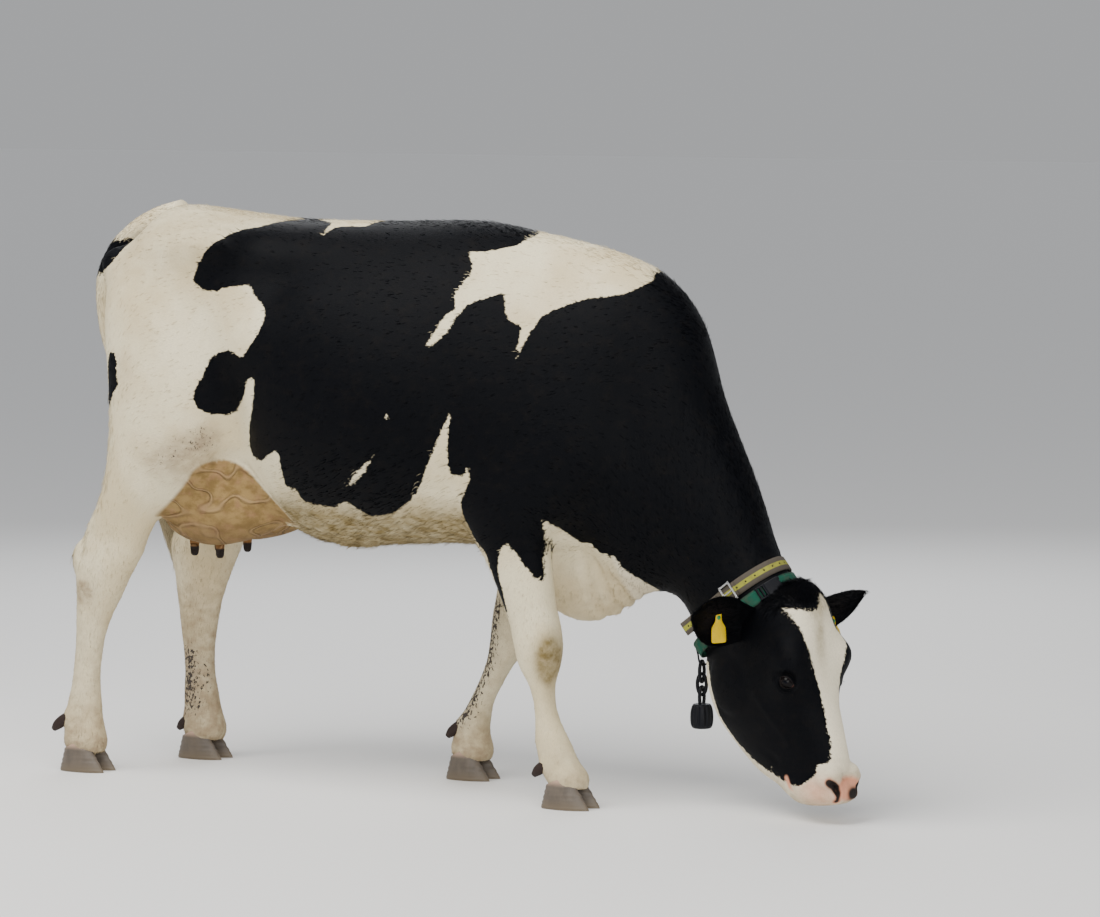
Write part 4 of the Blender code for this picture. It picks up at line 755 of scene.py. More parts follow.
# Lids: depth = the ball's surface + lid * smoothstep(g), with g the distance outside the almond.
eyeGap = np.full(len(points), 1.0)
for side in (1, -1):
    centre, out, inner, up = eyeAxes(side)
    away = points - centre
    p, q, r = away @ inner, away @ up, away @ out
    local = (np.linalg.norm(away, axis=1) < 0.06) & (r > -0.002)
    wide, tall = eyeLook["opening"]
    limit = np.where(q > 0, tall, tall * 0.8) * unit(1 - (p / wide) ** 2) ** 0.8
    gap = np.where(np.abs(p) < wide, np.abs(q) - limit, np.hypot(q, np.abs(p) - wide))
    radius = eyeLook["radius"]
    ball = np.sqrt(np.clip(radius**2 - p**2 - q**2, 0, None))
    rise = unit((gap + 0.0006) / 0.0022)
    rise = rise * rise * (3 - 2 * rise)
    thick = eyeLook["lid"] + np.where(q > 0, 0.0016, 0.0002)
    lid = ball - 0.004 + rise * (thick + 0.004)
    blend = unit((gap - 0.003) / 0.022)
    blend = blend * blend * (3 - 2 * blend)
    fold = 0.0011 * np.cos(gap * 2 * math.pi / 0.0062) * np.exp(-((gap - 0.013) / 0.009) ** 2)
    fold *= unit(q / 0.01 + 0.3)
    fold += 0.0007 * np.cos(gap * 2 * math.pi / 0.0048) * np.exp(-((gap - 0.011) / 0.006) ** 2) * unit(-q / 0.01)
    depth = np.where(gap < 0.05, lid * (1 - blend) + r * blend, r) + fold
    moved = centre + p[:, None] * inner + q[:, None] * up + depth[:, None] * out
    points = np.where(local[:, None], moved, points)
    eyeGap = np.where(local, np.minimum(eyeGap, gap), eyeGap)
skin.vertices.foreach_set("co", points.astype(np.float32).ravel())
print("skin faces", len(skin.polygons))


print("stage: markings")


# Signed distance to a closed outline, positive inside: the nearest side's distance, signed by a crossing count.
def inside(u, v, outline):
    outline = np.array(outline, float)
    closed = np.vstack([outline, outline[:1]])
    best = np.full(len(u), 1e9)
    crossing = np.zeros(len(u), int)
    for (x0, y0), (x1, y1) in zip(closed[:-1], closed[1:]):
        dx, dy = x1 - x0, y1 - y0
        t = unit(((u - x0) * dx + (v - y0) * dy) / max(dx * dx + dy * dy, 1e-12))
        best = np.minimum(best, np.hypot(u - x0 - t * dx, v - y0 - t * dy))
        if y0 != y1:
            crossing += ((y0 > v) != (y1 > v)) & (u < x0 + (v - y0) * dx / dy)
    return np.where(crossing % 2 == 1, best, -best)


# Rounded corners: the outline's points through a closed Catmull-Rom curve.
def rounded(outline, steps=3):
    outline = np.array(outline, float)
    loop = np.vstack([outline[-2:], outline, outline[:3]])
    return smoothRows(loop, steps)[2 * steps:-2 * steps]


# Near side outlines in (x, v), where v is the height, run on over the back.
blackMain = [
    (-0.43, 1.66), (-0.47, 1.62), (-0.5, 1.58), (-0.52, 1.53), (-0.55, 1.48), (-0.57, 1.41), (-0.62, 1.37),
    (-0.66, 1.32), (-0.65, 1.29), (-0.59, 1.27), (-0.5, 1.3), (-0.48, 1.27), (-0.44, 1.23), (-0.43, 1.19),
    (-0.46, 1.14), (-0.5, 1.1), (-0.53, 1.12), (-0.6, 1.1), (-0.63, 1.04), (-0.65, 0.99), (-0.61, 0.95),
    (-0.54, 0.96), (-0.49, 1.01), (-0.48, 1.04), (-0.45, 1.05), (-0.46, 0.98), (-0.5, 0.9), (-0.5, 0.85),
    (-0.45, 0.84), (-0.38, 0.87), (-0.38, 0.78), (-0.34, 0.77), (-0.33, 0.74), (-0.23, 0.73), (-0.19, 0.75),
    (-0.14, 0.71), (-0.05, 0.73), (0.03, 0.79), (0.07, 0.86), (0.1, 0.92), (0.13, 0.99), (0.122, 0.92),
    (0.12, 0.83), (0.17, 0.83), (0.16, 0.8), (0.14, 0.77), (0.13, 0.72), (0.19, 0.63), (0.26, 0.66), (0.3, 0.61),
    (0.34, 0.565), (0.34, 0.62), (0.355, 0.725), (0.375, 0.69), (0.414, 0.65), (0.455, 0.602), (0.472, 0.6),
    (0.5, 0.636), (0.517, 0.6), (0.553, 0.565), (0.58, 0.53), (0.62, 0.44), (0.7, 0.4), (1.3, 0.1), (1.3, 1.2),
    (0.8, 1.75), (0.3, 1.9),
]
shoulderWhite = [
    (0.25, 1.72), (0.235, 1.62), (0.2, 1.52), (0.12, 1.47), (0.095, 1.46), (0.12, 1.41), (0.12, 1.36), (0.1, 1.3),
    (0.11, 1.25), (0.09, 1.22), (0.055, 1.14), (0.105, 1.185), (0.138, 1.27), (0.19, 1.31), (0.22, 1.33),
    (0.235, 1.26), (0.26, 1.23), (0.282, 1.22), (0.282, 1.12), (0.308, 1.21), (0.33, 1.27), (0.39, 1.33),
    (0.46, 1.37), (0.51, 1.39), (0.56, 1.46), (0.56, 1.51), (0.54, 1.62), (0.52, 1.72),
]
topWhite = [
    (-0.25, 1.72), (-0.24, 1.6), (-0.25, 1.57), (-0.3, 1.57), (-0.325, 1.55), (-0.34, 1.49), (-0.345, 1.55),
    (-0.36, 1.6), (-0.42, 1.64), (-0.42, 1.72),
]
pinBlack = [(-0.9, 1.56), (-0.93, 1.5), (-0.95, 1.42), (-0.98, 1.39), (-1.01, 1.4), (-1.03, 1.45), (-0.98, 1.56)]
spotBlack = [
    (-0.905, 1.1), (-0.89, 1.08), (-0.89, 1.04), (-0.88, 1.02), (-0.9, 1.0), (-0.93, 0.96), (-0.935, 1.02),
    (-0.93, 1.09),
]
forearmBlack = [
    (0.175, 0.83), (0.2, 0.72), (0.19, 0.63), (0.2, 0.58), (0.205, 0.54), (0.24, 0.47), (0.235, 0.53), (0.225, 0.6),
    (0.25, 0.7),
]
elbowLine = [(0.168, 0.84), (0.15, 0.8), (0.13, 0.77), (0.121, 0.73), (0.12, 0.69)]
sideMark = [
    (-0.07, 0.88), (-0.085, 0.86), (-0.11, 0.845), (-0.145, 0.815), (-0.165, 0.79), (-0.13, 0.81), (-0.1, 0.84),
]

# Far side outlines, in the same way.
farBlack = [
    (-0.43, 1.66), (-0.49, 1.6), (-0.54, 1.5), (-0.6, 1.38), (-0.68, 1.27), (-0.71, 1.18), (-0.66, 1.08),
    (-0.58, 1.02), (-0.52, 0.97), (-0.47, 0.88), (-0.4, 0.8), (-0.3, 0.745), (-0.18, 0.72), (-0.05, 0.745),
    (0.04, 0.8), (0.08, 0.9), (0.06, 1.0), (0.1, 1.04), (0.15, 0.96), (0.16, 0.84), (0.19, 0.7), (0.25, 0.6),
    (0.32, 0.54), (0.36, 0.66), (0.41, 0.65), (0.46, 0.61), (0.52, 0.61), (0.555, 0.565), (0.58, 0.53),
    (0.62, 0.44), (0.7, 0.4), (1.3, 0.1), (1.3, 1.2), (0.8, 1.75), (0.3, 1.9),
]
farWhite = [
    (0.25, 1.72), (0.2, 1.58), (0.12, 1.49), (0.05, 1.4), (0.02, 1.28), (0.05, 1.18), (0.1, 1.22), (0.16, 1.3),
    (0.24, 1.32), (0.3, 1.24), (0.34, 1.26), (0.42, 1.36), (0.52, 1.42), (0.56, 1.52), (0.53, 1.62), (0.52, 1.72),
]
farHip = [(-0.86, 1.4), (-0.82, 1.34), (-0.84, 1.26), (-0.9, 1.24), (-0.96, 1.3), (-0.94, 1.38)]

# The blaze in (y, z) and the white of the jaw in (x, z), with the head straight.
blaze = [
    (-0.08, 0.525), (-0.076, 0.502), (-0.067, 0.476), (-0.054, 0.41), (-0.043, 0.37), (-0.033, 0.321),
    (-0.029, 0.272), (-0.032, 0.234), (-0.03, 0.208), (-0.036, 0.175), (-0.044, 0.152), (-0.052, 0.136),
    (-0.055, 0.12), (-0.055, -0.05), (0.12, -0.05), (0.1, 0.115), (0.055, 0.14), (0.04, 0.17), (0.036, 0.22),
    (0.045, 0.27), (0.052, 0.326), (0.056, 0.361), (0.067, 0.413), (0.078, 0.444), (0.048, 0.494), (0.034, 0.54),
    (0.02, 0.556), (0.006, 0.542), (-0.012, 0.523), (-0.035, 0.519), (-0.06, 0.524),
]
jawWhite = [
    (0.7, 0.42), (0.72, 0.397), (0.738, 0.33), (0.758, 0.259), (0.779, 0.219), (0.805, 0.185), (0.855, 0.148),
    (0.905, 0.124), (0.949, 0.108), (0.99, 0.096), (1.02, 0.092), (1.045, 0.1), (1.062, 0.112), (1.075, 0.128),
    (1.085, 0.15), (1.2, 0.15), (1.2, 0.02), (1.1, -0.05), (0.7, -0.05), (0.62, 0.3),
]


# Where the black is: the greater of two outlines joins them, and the lesser of one and minus the other cuts it out.
def patterned(points, flat):
    x, y, z = points.T
    v = z + 0.8 * np.clip(0.25 - np.abs(y), 0, None) * unit((z - 1.1) / 0.15)
    near = inside(x, v, rounded(blackMain, 2))
    for white in (shoulderWhite, topWhite):
        near = np.minimum(near, -inside(x, v, rounded(white, 2)))
    for black in (pinBlack, spotBlack, forearmBlack):
        near = np.maximum(near, inside(x, v, rounded(black)))
    near = np.minimum(near, -inside(x, v, rounded(sideMark)))
    line = np.array(elbowLine)
    line = np.stack([line[:, 0], 0 * line[:, 0], line[:, 1]], 1)
    near = np.minimum(near, pathDistance(np.stack([x, 0 * x, v], 1), line)[0] - 0.0055)
    near = np.minimum(near, np.hypot(x + 0.03, v - 0.97) - 0.006)
    far = inside(x, v, rounded(farBlack))
    for white in (farWhite, topWhite):
        far = np.minimum(far, -inside(x, v, rounded(white)))
    far = np.maximum(far, inside(x, v, rounded(farHip)))
    share = unit(0.5 - y / 0.06)
    dark = near * share + far * (1 - share)
    # The far legs and the breast between the legs.
    under = unit((np.abs(y) - 0.045) / 0.05)
    breast = (z < 0.8) & (x > -0.1) & (x < 0.27) & (np.abs(y) < 0.1)
    dark = np.where(breast, np.minimum(dark, -0.02 + 0.02 * under), dark)
    dark = np.where((z < 0.66) & (x >= 0.27) & (x < 0.49) & (np.abs(y) < 0.132), np.minimum(dark, -0.015), dark)
    dark = np.where((x < -0.36) & (z < 0.72), np.minimum(dark, -0.02), dark)
    # The head, with its own outlines.
    px, py, pz = flat.T
    head = np.full(len(px), 0.05)
    front = np.clip((px - 0.935) / 0.02, -1, 1) * 0.02
    head = np.minimum(head, np.maximum(-inside(py, pz, rounded(blaze)), -front))
    side = np.clip((0.36 - pz) / 0.02, -1, 1) * 0.03
    head = np.minimum(head, np.maximum(-inside(px, pz, rounded(jawWhite)), -side - 0.02))
    ahead = downNeck(px, pz)
    mixing = unit((ahead - 0.36) / 0.05) * (px > 0.58)
    return dark * (1 - mixing) + head * mixing


dark = patterned(points, flat)


# Share of the way from the nearest other loft to the udder, as 0 to 1 over a centimetre.
def treeOf(grids):
    made, quads = together(grids)
    return BVHTree.FromPolygons(made.tolist(), quads.tolist())


udderTree = treeOf([capped(sideRings(rows, 4, 48)) + shift for rows in udderTables])
fleshTree = treeOf([capped(sideRings(rows, 4, 48)) + shift for rows in bodyTables])


def distances(tree, places):
    return np.array([tree.find_nearest(Vector(place))[3] for place in places.tolist()])


# Bells on both sides, and bands along both sides' paths of the head.
def bells(places, centre, radii, height):
    return sum(bell(places, onSide(centre, side), radii, height) for side in (1, -1))


def bands(path, width):
    return sum(band(points, placed(side), width) for side in bothSides(path))


bare = np.zeros(len(points))
x, y, z = points.T
around = (x > -1.0) & (x < -0.3) & (z > 0.5) & (z < 0.95) & (np.abs(y) < 0.26)
udderAway, fleshAway = distances(udderTree, points[around]), distances(fleshTree, points[around])
bare[around] = unit((fleshAway - udderAway) / 0.012 + 0.6) * unit((0.87 - 4.0 * y[around] ** 2 - z[around]) / 0.05)
# The bare bag seen from the side, in (x, z): a dome under the fold of the thigh.
bagOutline = [
    (-0.84, 0.6), (-0.818, 0.668), (-0.745, 0.73), (-0.7, 0.772), (-0.669, 0.806), (-0.64, 0.824), (-0.606, 0.83),
    (-0.573, 0.822), (-0.543, 0.806), (-0.513, 0.781), (-0.483, 0.75), (-0.455, 0.717), (-0.429, 0.681),
    (-0.38, 0.62), (-0.38, 0.5), (-0.83, 0.5),
]
dome = unit(inside(x, z, rounded(bagOutline)) / 0.012 + 0.5)
outer = unit((np.abs(y) - 0.07) / 0.04) * unit((z - 0.655) / 0.02) * around
bare = bare * (1 - outer) + np.where(x < -0.81, bare, dome) * outer
nosePad = bell(flat, (1.128, 0.0, 0.088), (0.032, 0.056, 0.034), 1.4)
noseSide = bells(flat, (1.08, 0.055, 0.085), (0.085, 0.055, 0.06), 0.55)
noseRim = bands(nostril, 0.015)
lips = bands(mouthLine, 0.008)
bare = np.maximum(bare, unit(nosePad - 0.25) * (fx > 1.05) * 1.3)
bare = np.maximum(bare, np.maximum(noseSide, 0.95 * noseRim) * (dark < 0.0))
bare = unit(np.maximum(bare, lips * 0.9))
lidRim = unit(1.15 - eyeGap / 0.0035)
# Painted shade in the nostrils' openings, darkened in colour over the carved cuts.
nostrilShade = bells(flat, (1.119, 0.053, 0.103), (0.013, 0.013, 0.012), 0.9)
nostrilShade += 1.3 * bands(nostril, 0.0075)
nostrilShade += bells(flat, (1.122, 0.042, 0.09), (0.012, 0.008, 0.011), 1.0)
padPatch = bell(flat, [1.128, 0.014, 0.075], [0.03, 0.021, 0.016], 1.5)

# Grime and warm stains: soft spots and strokes. The grime mark also carries painted shade under the brisket.
dirt = 0.85 * unit((0.2 - z) / 0.18)
dirt += 0.45 * unit((0.6 - z) / 0.3) * (x < -0.5)
dirt += 0.45 * unit((0.62 - z) / 0.2) * (y > 0.05)
dirt += bell(points, [-0.855, -0.16, 1.06], [0.035, 0.1, 0.045], 0.8)
dirt += bell(points, [-0.66, -0.2, 0.8], [0.08, 0.1, 0.05], 0.9)
for path in bothSides([(-0.62, -0.24, 0.885), (-0.66, -0.24, 0.877), (-0.71, -0.24, 0.86), (-0.77, -0.24, 0.829)]):
    dirt += 1.0 * band(points, path, 0.038)
for path in bothSides([(-0.83, -0.2, 0.6), (-0.8, -0.2, 0.48), (-0.83, -0.19, 0.36)]):
    dirt += 0.45 * band(points, path, 0.03)
onLeg = unit((x + 0.09) / 0.05) * unit((y - 0.05) / 0.04)
warm = unit((0.775 - z) / 0.07) * (x > -0.47) * (x < 0.16) * (1 - onLeg) * (z > 0.56)
warm += 0.3 * unit((z - 1.2) / 0.15) * (x < -0.4)
warm += bell(flat, [1.02, 0.01, 0.535], [0.06, 0.05, 0.035], 0.7)
warm += bell(points, [0.371, -0.215, 0.362], [0.033, 0.05, 0.053], 3.6)
warm += bell(points, [-1.085, -0.19, 0.564], [0.026, 0.05, 0.03], 1.5)
warm += 0.28 * unit((0.48 - z) / 0.15) * (x < -0.5) * (y > 0.05)
# Painted shade under the brisket between the forelegs, laid on as grime.
dirt += 0.4 * unit((0.66 - z) / 0.14) * (x > 0.27) * (x < 0.62) * (np.abs(y) < 0.125)
dirt += bell(points, [-1.02, -0.22, 0.472], [0.026, 0.05, 0.032], 1.6)
warm *= 1 - unit(bare * 1.5) * (x < 0.3)
warm += bell(flat, [1.03, -0.012, 0.455], [0.06, 0.018, 0.07], 0.8)
warm += 0.45 * bells(flat, (1.118, 0.035, 0.118), (0.03, 0.026, 0.012), 1.0)
warm = unit(warm)
speck = np.zeros(len(points))
speckLines = [
    (
        [
            (0.02, 0.14, 0.46), (0.004, 0.14, 0.38), (-0.012, 0.14, 0.306), (-0.038, 0.14, 0.264),
            (-0.066, 0.14, 0.197), (-0.083, 0.14, 0.16)
        ],
        0.024, 1.0
    ),
    ([(-0.935, 0.15, 0.27), (-0.93, 0.15, 0.228), (-0.92, 0.15, 0.15)], 0.034, 0.9),
    ([(-0.875, 0.15, 0.26), (-0.87, 0.15, 0.2)], 0.016, 0.8),
    ([(-1.075, -0.2, 0.34), (-1.085, -0.2, 0.28)], 0.018, 0.6),
    ([(-0.63, -0.24, 0.885), (-0.69, -0.24, 0.868), (-0.74, -0.24, 0.845)], 0.03, 0.5),
]
for path, wide, much in speckLines:
    speck = np.maximum(speck, much * band(points, path, wide))

# Wetness and darkness round the eyes, nostrils and lips, and the pink of the udder: dark skin at the lids, muzzle
# pad and teat tips, painted shade in the nostrils and ear cups, and a painted shadow under the thigh's fold.
dusk = 0.95 * lidRim + nostrilShade + padPatch
# A painted shadow along the fold where the thigh overhangs the udder.
for path in bothSides(foldPath):
    dusk += 0.42 * band(points, [(px, py, pz - 0.006) for px, py, pz in path], 0.013)
dusk = unit(dusk)


def setFloat(mesh, name, values):
    held = mesh.attributes.new(name, "FLOAT", "POINT")
    held.data.foreach_set("value", np.ascontiguousarray(values, np.float32))


marks = {"speck": speck, "dark": dark, "bare": bare, "dirt": unit(dirt), "warm": warm, "dusk": dusk}


print("stage: ears, teats and tail")


# Sections of a cupped leaf: across from its upper to its lower edge, and bent back in the middle.
def earRings(rows, steps=7, around=36):
    rows = smoothRows(rows, steps)
    upper, lower, back = rows[:, 0:3], rows[:, 3:6], rows[:, 6:9]
    thick = rows[:, 9][:, None]
    turn = circle(around)[None]
    across, through = np.cos(turn), np.sin(turn)
    middle = ((upper + lower) / 2)[:, None]
    half = ((upper - lower) / 2)[:, None]
    length = np.linalg.norm(back, axis=1)[:, None]
    unit = (back / length)[:, None]
    ridge = 0.0016 * np.cos(3 * math.pi * across) * (through < 0)
    depth = (1 - across**2) * length + through * thick * 0.85 + ridge
    return middle + half * across[:, :, None] + unit * depth[:, :, None], through + 0 * rows[:, :1]


# Triangles of quads, and of a mesh.
def halved(quads):
    return np.concatenate([quads[:, [0, 1, 2]], quads[:, [0, 2, 3]]])


def trianglesOf(mesh):
    mesh.calc_loop_triangles()
    made = np.empty(len(mesh.loop_triangles) * 3, int)
    mesh.loop_triangles.foreach_get("vertices", made)
    return made.reshape(-1, 3)


allPoints, allFaces = [points], [trianglesOf(skin)]
allMarks = {name: [values] for name, values in marks.items()}


# An island's faces are turned outwards by the sign of its volume.
def addIsland(rings, **values):
    rings = capped(rings)
    quads = gridQuads(*rings.shape[:2])
    faces = halved(quads)
    flatPoints = rings.reshape(-1, 3)
    a, b, c = (flatPoints[faces[:, k]] for k in range(3))
    area = np.linalg.norm(np.cross(b - a, c - a), axis=1)
    if (a * np.cross(b, c)).sum() < 0:
        faces = faces[:, ::-1]
    faces = faces[area > 1e-12]
    start = sum(len(held) for held in allPoints)
    allPoints.append(flatPoints)
    allFaces.append(faces + start)
    for name in allMarks:
        value = values.get(name, 0.0)
        if np.ndim(value):
            value = np.concatenate([value[:1], value, value[-1:]]).reshape(-1)
        allMarks[name].append(np.broadcast_to(np.asarray(value, float), (len(flatPoints),)).copy())


earFrames = {}
for name, rows in earRows.items():
    rings, through = earRings(rows)
    rings = turned(rings) + shift
    earFrames[name] = rings
    share = np.linspace(0, 1, len(rings))[:, None]
    hollow = unit(-through) * unit(1 - (share - 0.45) ** 2 / 0.16)
    # Painted shade darkens the inner cup of the ear.
    addIsland(rings, dark=0.03, bare=0.12 * hollow, dusk=0.45 * hollow)
for name, px, py in teats:
    profile = smoothRows([(1.25, 1.0), (1.06, 0.6), (0.94, 0.3), (0.82, 0.05), (0.5, -0.045), (0.12, -0.055)], 4)
    rows = [
        (px + shift[0], py + shift[1], 0.57 + 0.075 * level, 0.0125 * wide * (1 + 0.02 * math.sin(60 * level)))
        for wide, level in profile
    ]
    rings = pathRings(rows, 1, 24)
    level = (rings[:, :, 2] - 0.566) / 0.075
    addIsland(rings, dark=-0.05, bare=1.0, dusk=unit((0.38 - level) / 0.08), warm=unit(1.1 - level))
tailPath = [(px + shift[0], py + shift[1], pz, reach - 0.0015) for px, py, pz, reach in tailRows[:-2]]
tailPath[-1] = (*tailPath[-1][:3], 0.01)
rings = pathRings(tailPath, 8, 28)
level = rings[:, :, 2]
tailDark = np.minimum(level - 1.29, 1.385 - level)
addIsland(rings, dark=np.clip(tailDark * 0.5, -0.03, 0.03), dirt=np.clip(1.0 - level, 0, 0.8) + 0 * level)

points = np.concatenate(allPoints)
faces = np.concatenate(allFaces)
marks = {name: np.concatenate(values) for name, values in allMarks.items()}
marks["flank"] = unit((0.62 - points[:, 2]) / 0.12)
ahead = downNeck(points[:, 0], points[:, 2])
marks["nape"] = unit((ahead + 0.1) / 0.15) * (points[:, 0] > 0.5)
skinMesh = meshOf("skin", points, faces)
skinMesh.shade_smooth()
for name, values in marks.items():
    setFloat(skinMesh, name, values)
skinPiece = objectOf("skin", skinMesh)
print("skin triangles", len(faces))


print("stage: materials")
# The face colour is partly the head's own creamy tone and partly painted light, brighter than the body's white.
coatLook = {
    "black": (0.0017, 0.002, 0.003), "brown": (0.006, 0.005, 0.0045), "streak": (0.007, 0.008, 0.0115),
    "white": (0.78, 0.7, 0.485), "cream": (0.64, 0.54, 0.33), "face": (0.9, 0.83, 0.66),
    "strand": (0.42, 0.35, 0.25),
    "splash": (0.27, 0.24, 0.2), "mud": (0.06, 0.05, 0.044), "sheen": 0.004,
}
# The dark colour below serves both dark skin and painted shade.
skinLooks = {
    "pink": (0.68, 0.3, 0.19), "tan": (0.6, 0.34, 0.21), "olive": (0.3, 0.2, 0.082), "umber": (0.19, 0.122, 0.046),
    "dark": (0.022, 0.017, 0.015), "grimeAndShade": (0.3, 0.22, 0.135), "warm": (0.175, 0.125, 0.046),
    "flush": (0.36, 0.19, 0.12),
    "teat": (0.43, 0.17, 0.045), "vein": (0.43, 0.29, 0.165), "bagUnderShade": (0.12, 0.075, 0.038),
}


# A node's output, which is added, subtracted and multiplied like a number.
class Value:
    def __init__(self, socket):
        self.socket = socket

    def __add__(self, other):
        return calc("ADD", self, other)

    def __sub__(self, other):
        return calc("SUBTRACT", self, other)

    def __rsub__(self, other):
        return calc("SUBTRACT", other, self)

    def __mul__(self, other):
        return calc("MULTIPLY", self, other)


# A number, a colour or another node's output goes into a socket of the material being made.
def give(socket, value):
    if isinstance(value, Value):
        tree.links.new(value.socket, socket)
    else:
        socket.default_value = (*value, 1.0) if socket.type == "RGBA" else value


def freshMaterial(name, colour=(0.5, 0.5, 0.5), roughness=0.5, metallic=0.0):
    global tree, shader
    made = bpy.data.materials.new(name)
    made.use_nodes = True
    tree = made.node_tree
    shader = tree.nodes["Principled BSDF"].inputs
    finish({"Base Color": colour, "Roughness": roughness, "Metallic": metallic})
    return made


def finish(values):
    for name, value in values.items():
        give(shader[name], value)


# A node with its inputs given as numbers, colours or other nodes' outputs.
def node(kind, inputs, out=0, **settings):
    made = tree.nodes.new(kind)
    for name, value in settings.items():
        setattr(made, name, value)
    for name, value in inputs.items():
        give(made.inputs[name], value)
    return Value(made.outputs[out])


def calc(operation, first, second=0.0):
    return node("ShaderNodeMath", {0: first, 1: second}, operation=operation)


# Colours laid over the first one, each by its share.
def layered(under, *layers):
    for share, over in layers:
        under = node("ShaderNodeMix", {0: share, 6: under, 7: over}, 2, data_type="RGBA")
    return under


def ranged(value, low, high, to=(0.0, 1.0)):
    inputs = {"Value": value, "From Min": low, "From Max": high, "To Min": to[0], "To Max": to[1]}
    return node("ShaderNodeMapRange", inputs, interpolation_type="SMOOTHSTEP")


def stretched(scale, turn=(0.0, 0.0, 0.0)):
    place = node("ShaderNodeTexCoord", {}, 3)
    return node("ShaderNodeMapping", {"Vector": place, "Scale": scale, "Rotation": turn})


def noise(scale, detail=3.0, rough=0.55, tip=0.0):
    vector = stretched(scale, (0.0, math.radians(tip), 0.0))
    return node("ShaderNodeTexNoise", {"Vector": vector, "Scale": 1.0, "Detail": detail, "Roughness": rough})


def mark(name):
    return node("ShaderNodeAttribute", {}, 2, attribute_name=name)


def heightOf():
    return node("ShaderNodeSeparateXYZ", {"Vector": node("ShaderNodeTexCoord", {}, 3)}, 2)


def bumped(height, strength, distance, **before):
    return node("ShaderNodeBump", {"Height": height, "Strength": strength, "Distance": distance, **before})


# The coat: black where dark plus ragged noise is over nought, white elsewhere, with stains and painted shade over it
# and bare skin through it.
def coatMaterial(name, tufts=False):
    made = freshMaterial(name)
    edge = mark("dark") + (
        noise((45, 90, 90), 4.0, 0.65) - 0.5
    ) * 0.018 + (noise((160, 420, 420), 2.0) - 0.5) * 0.01
    isDark = ranged(edge, -0.0016, 0.0016)
    broad, patch = noise((5, 5, 5)), noise((26, 40, 40), 4.0, 0.6)
    nape, speck = mark("nape"), mark("speck")
    lie = node("ShaderNodeMix", {0: nape, 2: noise((120, 900, 900), 2.0), 3: noise((120, 900, 900), 2.0, tip=53)})
    lie = node("ShaderNodeMix", {0: mark("flank"), 2: lie, 3: noise((900, 900, 120), 2.0)})
    dots = ranged(noise((150, 150, 110), 3.0, 0.6) + speck * 0.22, 0.66, 0.7) * ranged(speck, 0.02, 0.2)
    # The grime layer also carries the painted shade under the brisket.
    grimeAndShade = mark("dirt") * ranged(patch, 0.25, 0.75, (0.3, 0.95))
    white = layered(
        coatLook["white"],
        (ranged(broad, 0.35, 0.7), coatLook["cream"]),
        # Head and neck take the face white: partly their own creamier tone, partly painted light that brightens
        # them.
        (nape * 0.6, coatLook["face"]),
        (ranged(lie, 0.35, 0.75, (0.0, 0.38)), coatLook["strand"]),
        (mark("warm") * ranged(patch, 0.25, 0.75, (0.5, 1.0)), skinLooks["warm"]),
        (calc("MINIMUM", grimeAndShade, 0.9), skinLooks["grimeAndShade"]),
        (speck * 0.32, coatLook["splash"]),
        (dots, coatLook["mud"]),
    )
    black = layered(
        coatLook["black"],
        (ranged(patch, 0.45, 0.85, (0.0, 0.6)), coatLook["brown"]),
        (ranged(lie, 0.55, 0.8, (0.0, 0.35)), coatLook["streak"]),
    )
    colour = layered(white, (isDark, black))
    roughness = ranged(isDark, 0.0, 1.0, (0.75, 0.52))
    if tufts:
        shade = ranged(mark("vary"), 0.0, 1.0, (0.84, 1.1))
        colour = node("ShaderNodeHueSaturation", {"Color": colour, "Value": shade})
    else:
        bare, dusk, level, onBag = mark("bare"), mark("dusk"), heightOf(), 1.0 - nape
        flesh = layered(skinLooks["pink"], (ranged(broad, 0.35, 0.65), skinLooks["tan"]))
        bag = layered(skinLooks["olive"], (ranged(patch, 0.35, 0.65), skinLooks["umber"]))
        ridge = ranged(calc("ABSOLUTE", noise((9, 9, 11), 1.0) - 0.5), 0.045, 0.006) * onBag
        flesh = layered(
            bag,
            (nape, flesh),
            (ranged(noise((30, 30, 30), 5.0, 0.6), 0.45, 0.75, (0.0, 0.4)), skinLooks["flush"]),
            (mark("warm") * 0.9, skinLooks["teat"]),
            (ridge * 0.3, skinLooks["vein"]),
            # Painted shade: the bag darkens towards its underside.
            (ranged(level, 0.7, 0.61, (0.0, 0.5)) * onBag, skinLooks["bagUnderShade"]),
        )
        # Dark skin at lids, muzzle and teat tips, and painted shade in the nostrils, ear cups and thigh fold, come
        # in here as one dark layer.
        colour = layered(colour, (ranged(bare, 0.15, 0.85), flesh), (ranged(dusk, 0.1, 0.9), skinLooks["dark"]))
        crease = noise((48, 30, 5), 2.0, tip=-14) * (nape * ranged(level, 0.56, 0.7, (0.0, 6.0)))
        cells = node("ShaderNodeTexVoronoi", {"Vector": stretched((320, 320, 320)), "Scale": 1.0}, feature="F1")
        height = node("ShaderNodeMix", {0: bare, 2: lie * 0.8 + patch * 1.2 + crease, 3: cells})
        finish({"Normal": bumped(height, 0.55, 0.0012, Normal=bumped(ridge * bare, 0.9, 0.008))})
        roughness = roughness - dusk * 0.18
    finish({"Base Color": colour, "Roughness": roughness, "Specular IOR Level": 0.03 if tufts else 0.055})
    finish({"Sheen Weight": coatLook["sheen"], "Sheen Roughness": 0.35, "Sheen Tint": (0.75, 0.82, 1.0)})
    return made


skinCoat, tuftCoat = coatMaterial("coat"), coatMaterial("tufts", True)
skinMesh.materials.append(skinCoat)
flesh = ("head", "neck", "trunk", "udder", "fore_", "hind_", "ear_left", "ear_right", "tail", "teat")
fleshNodes = [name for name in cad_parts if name.startswith(flesh)]
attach(skinPiece, "root")
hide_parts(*fleshNodes)


# A finished piece: its material, its slot, which is not used, the nodes it stands for, and its body.
def finished(piece, material, slot, *nodes):
    piece.data.materials.clear()
    piece.data.materials.append(material)
    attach(piece, "root")
    if nodes:
        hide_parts(*nodes)
    return piece


print("stage: eyes")


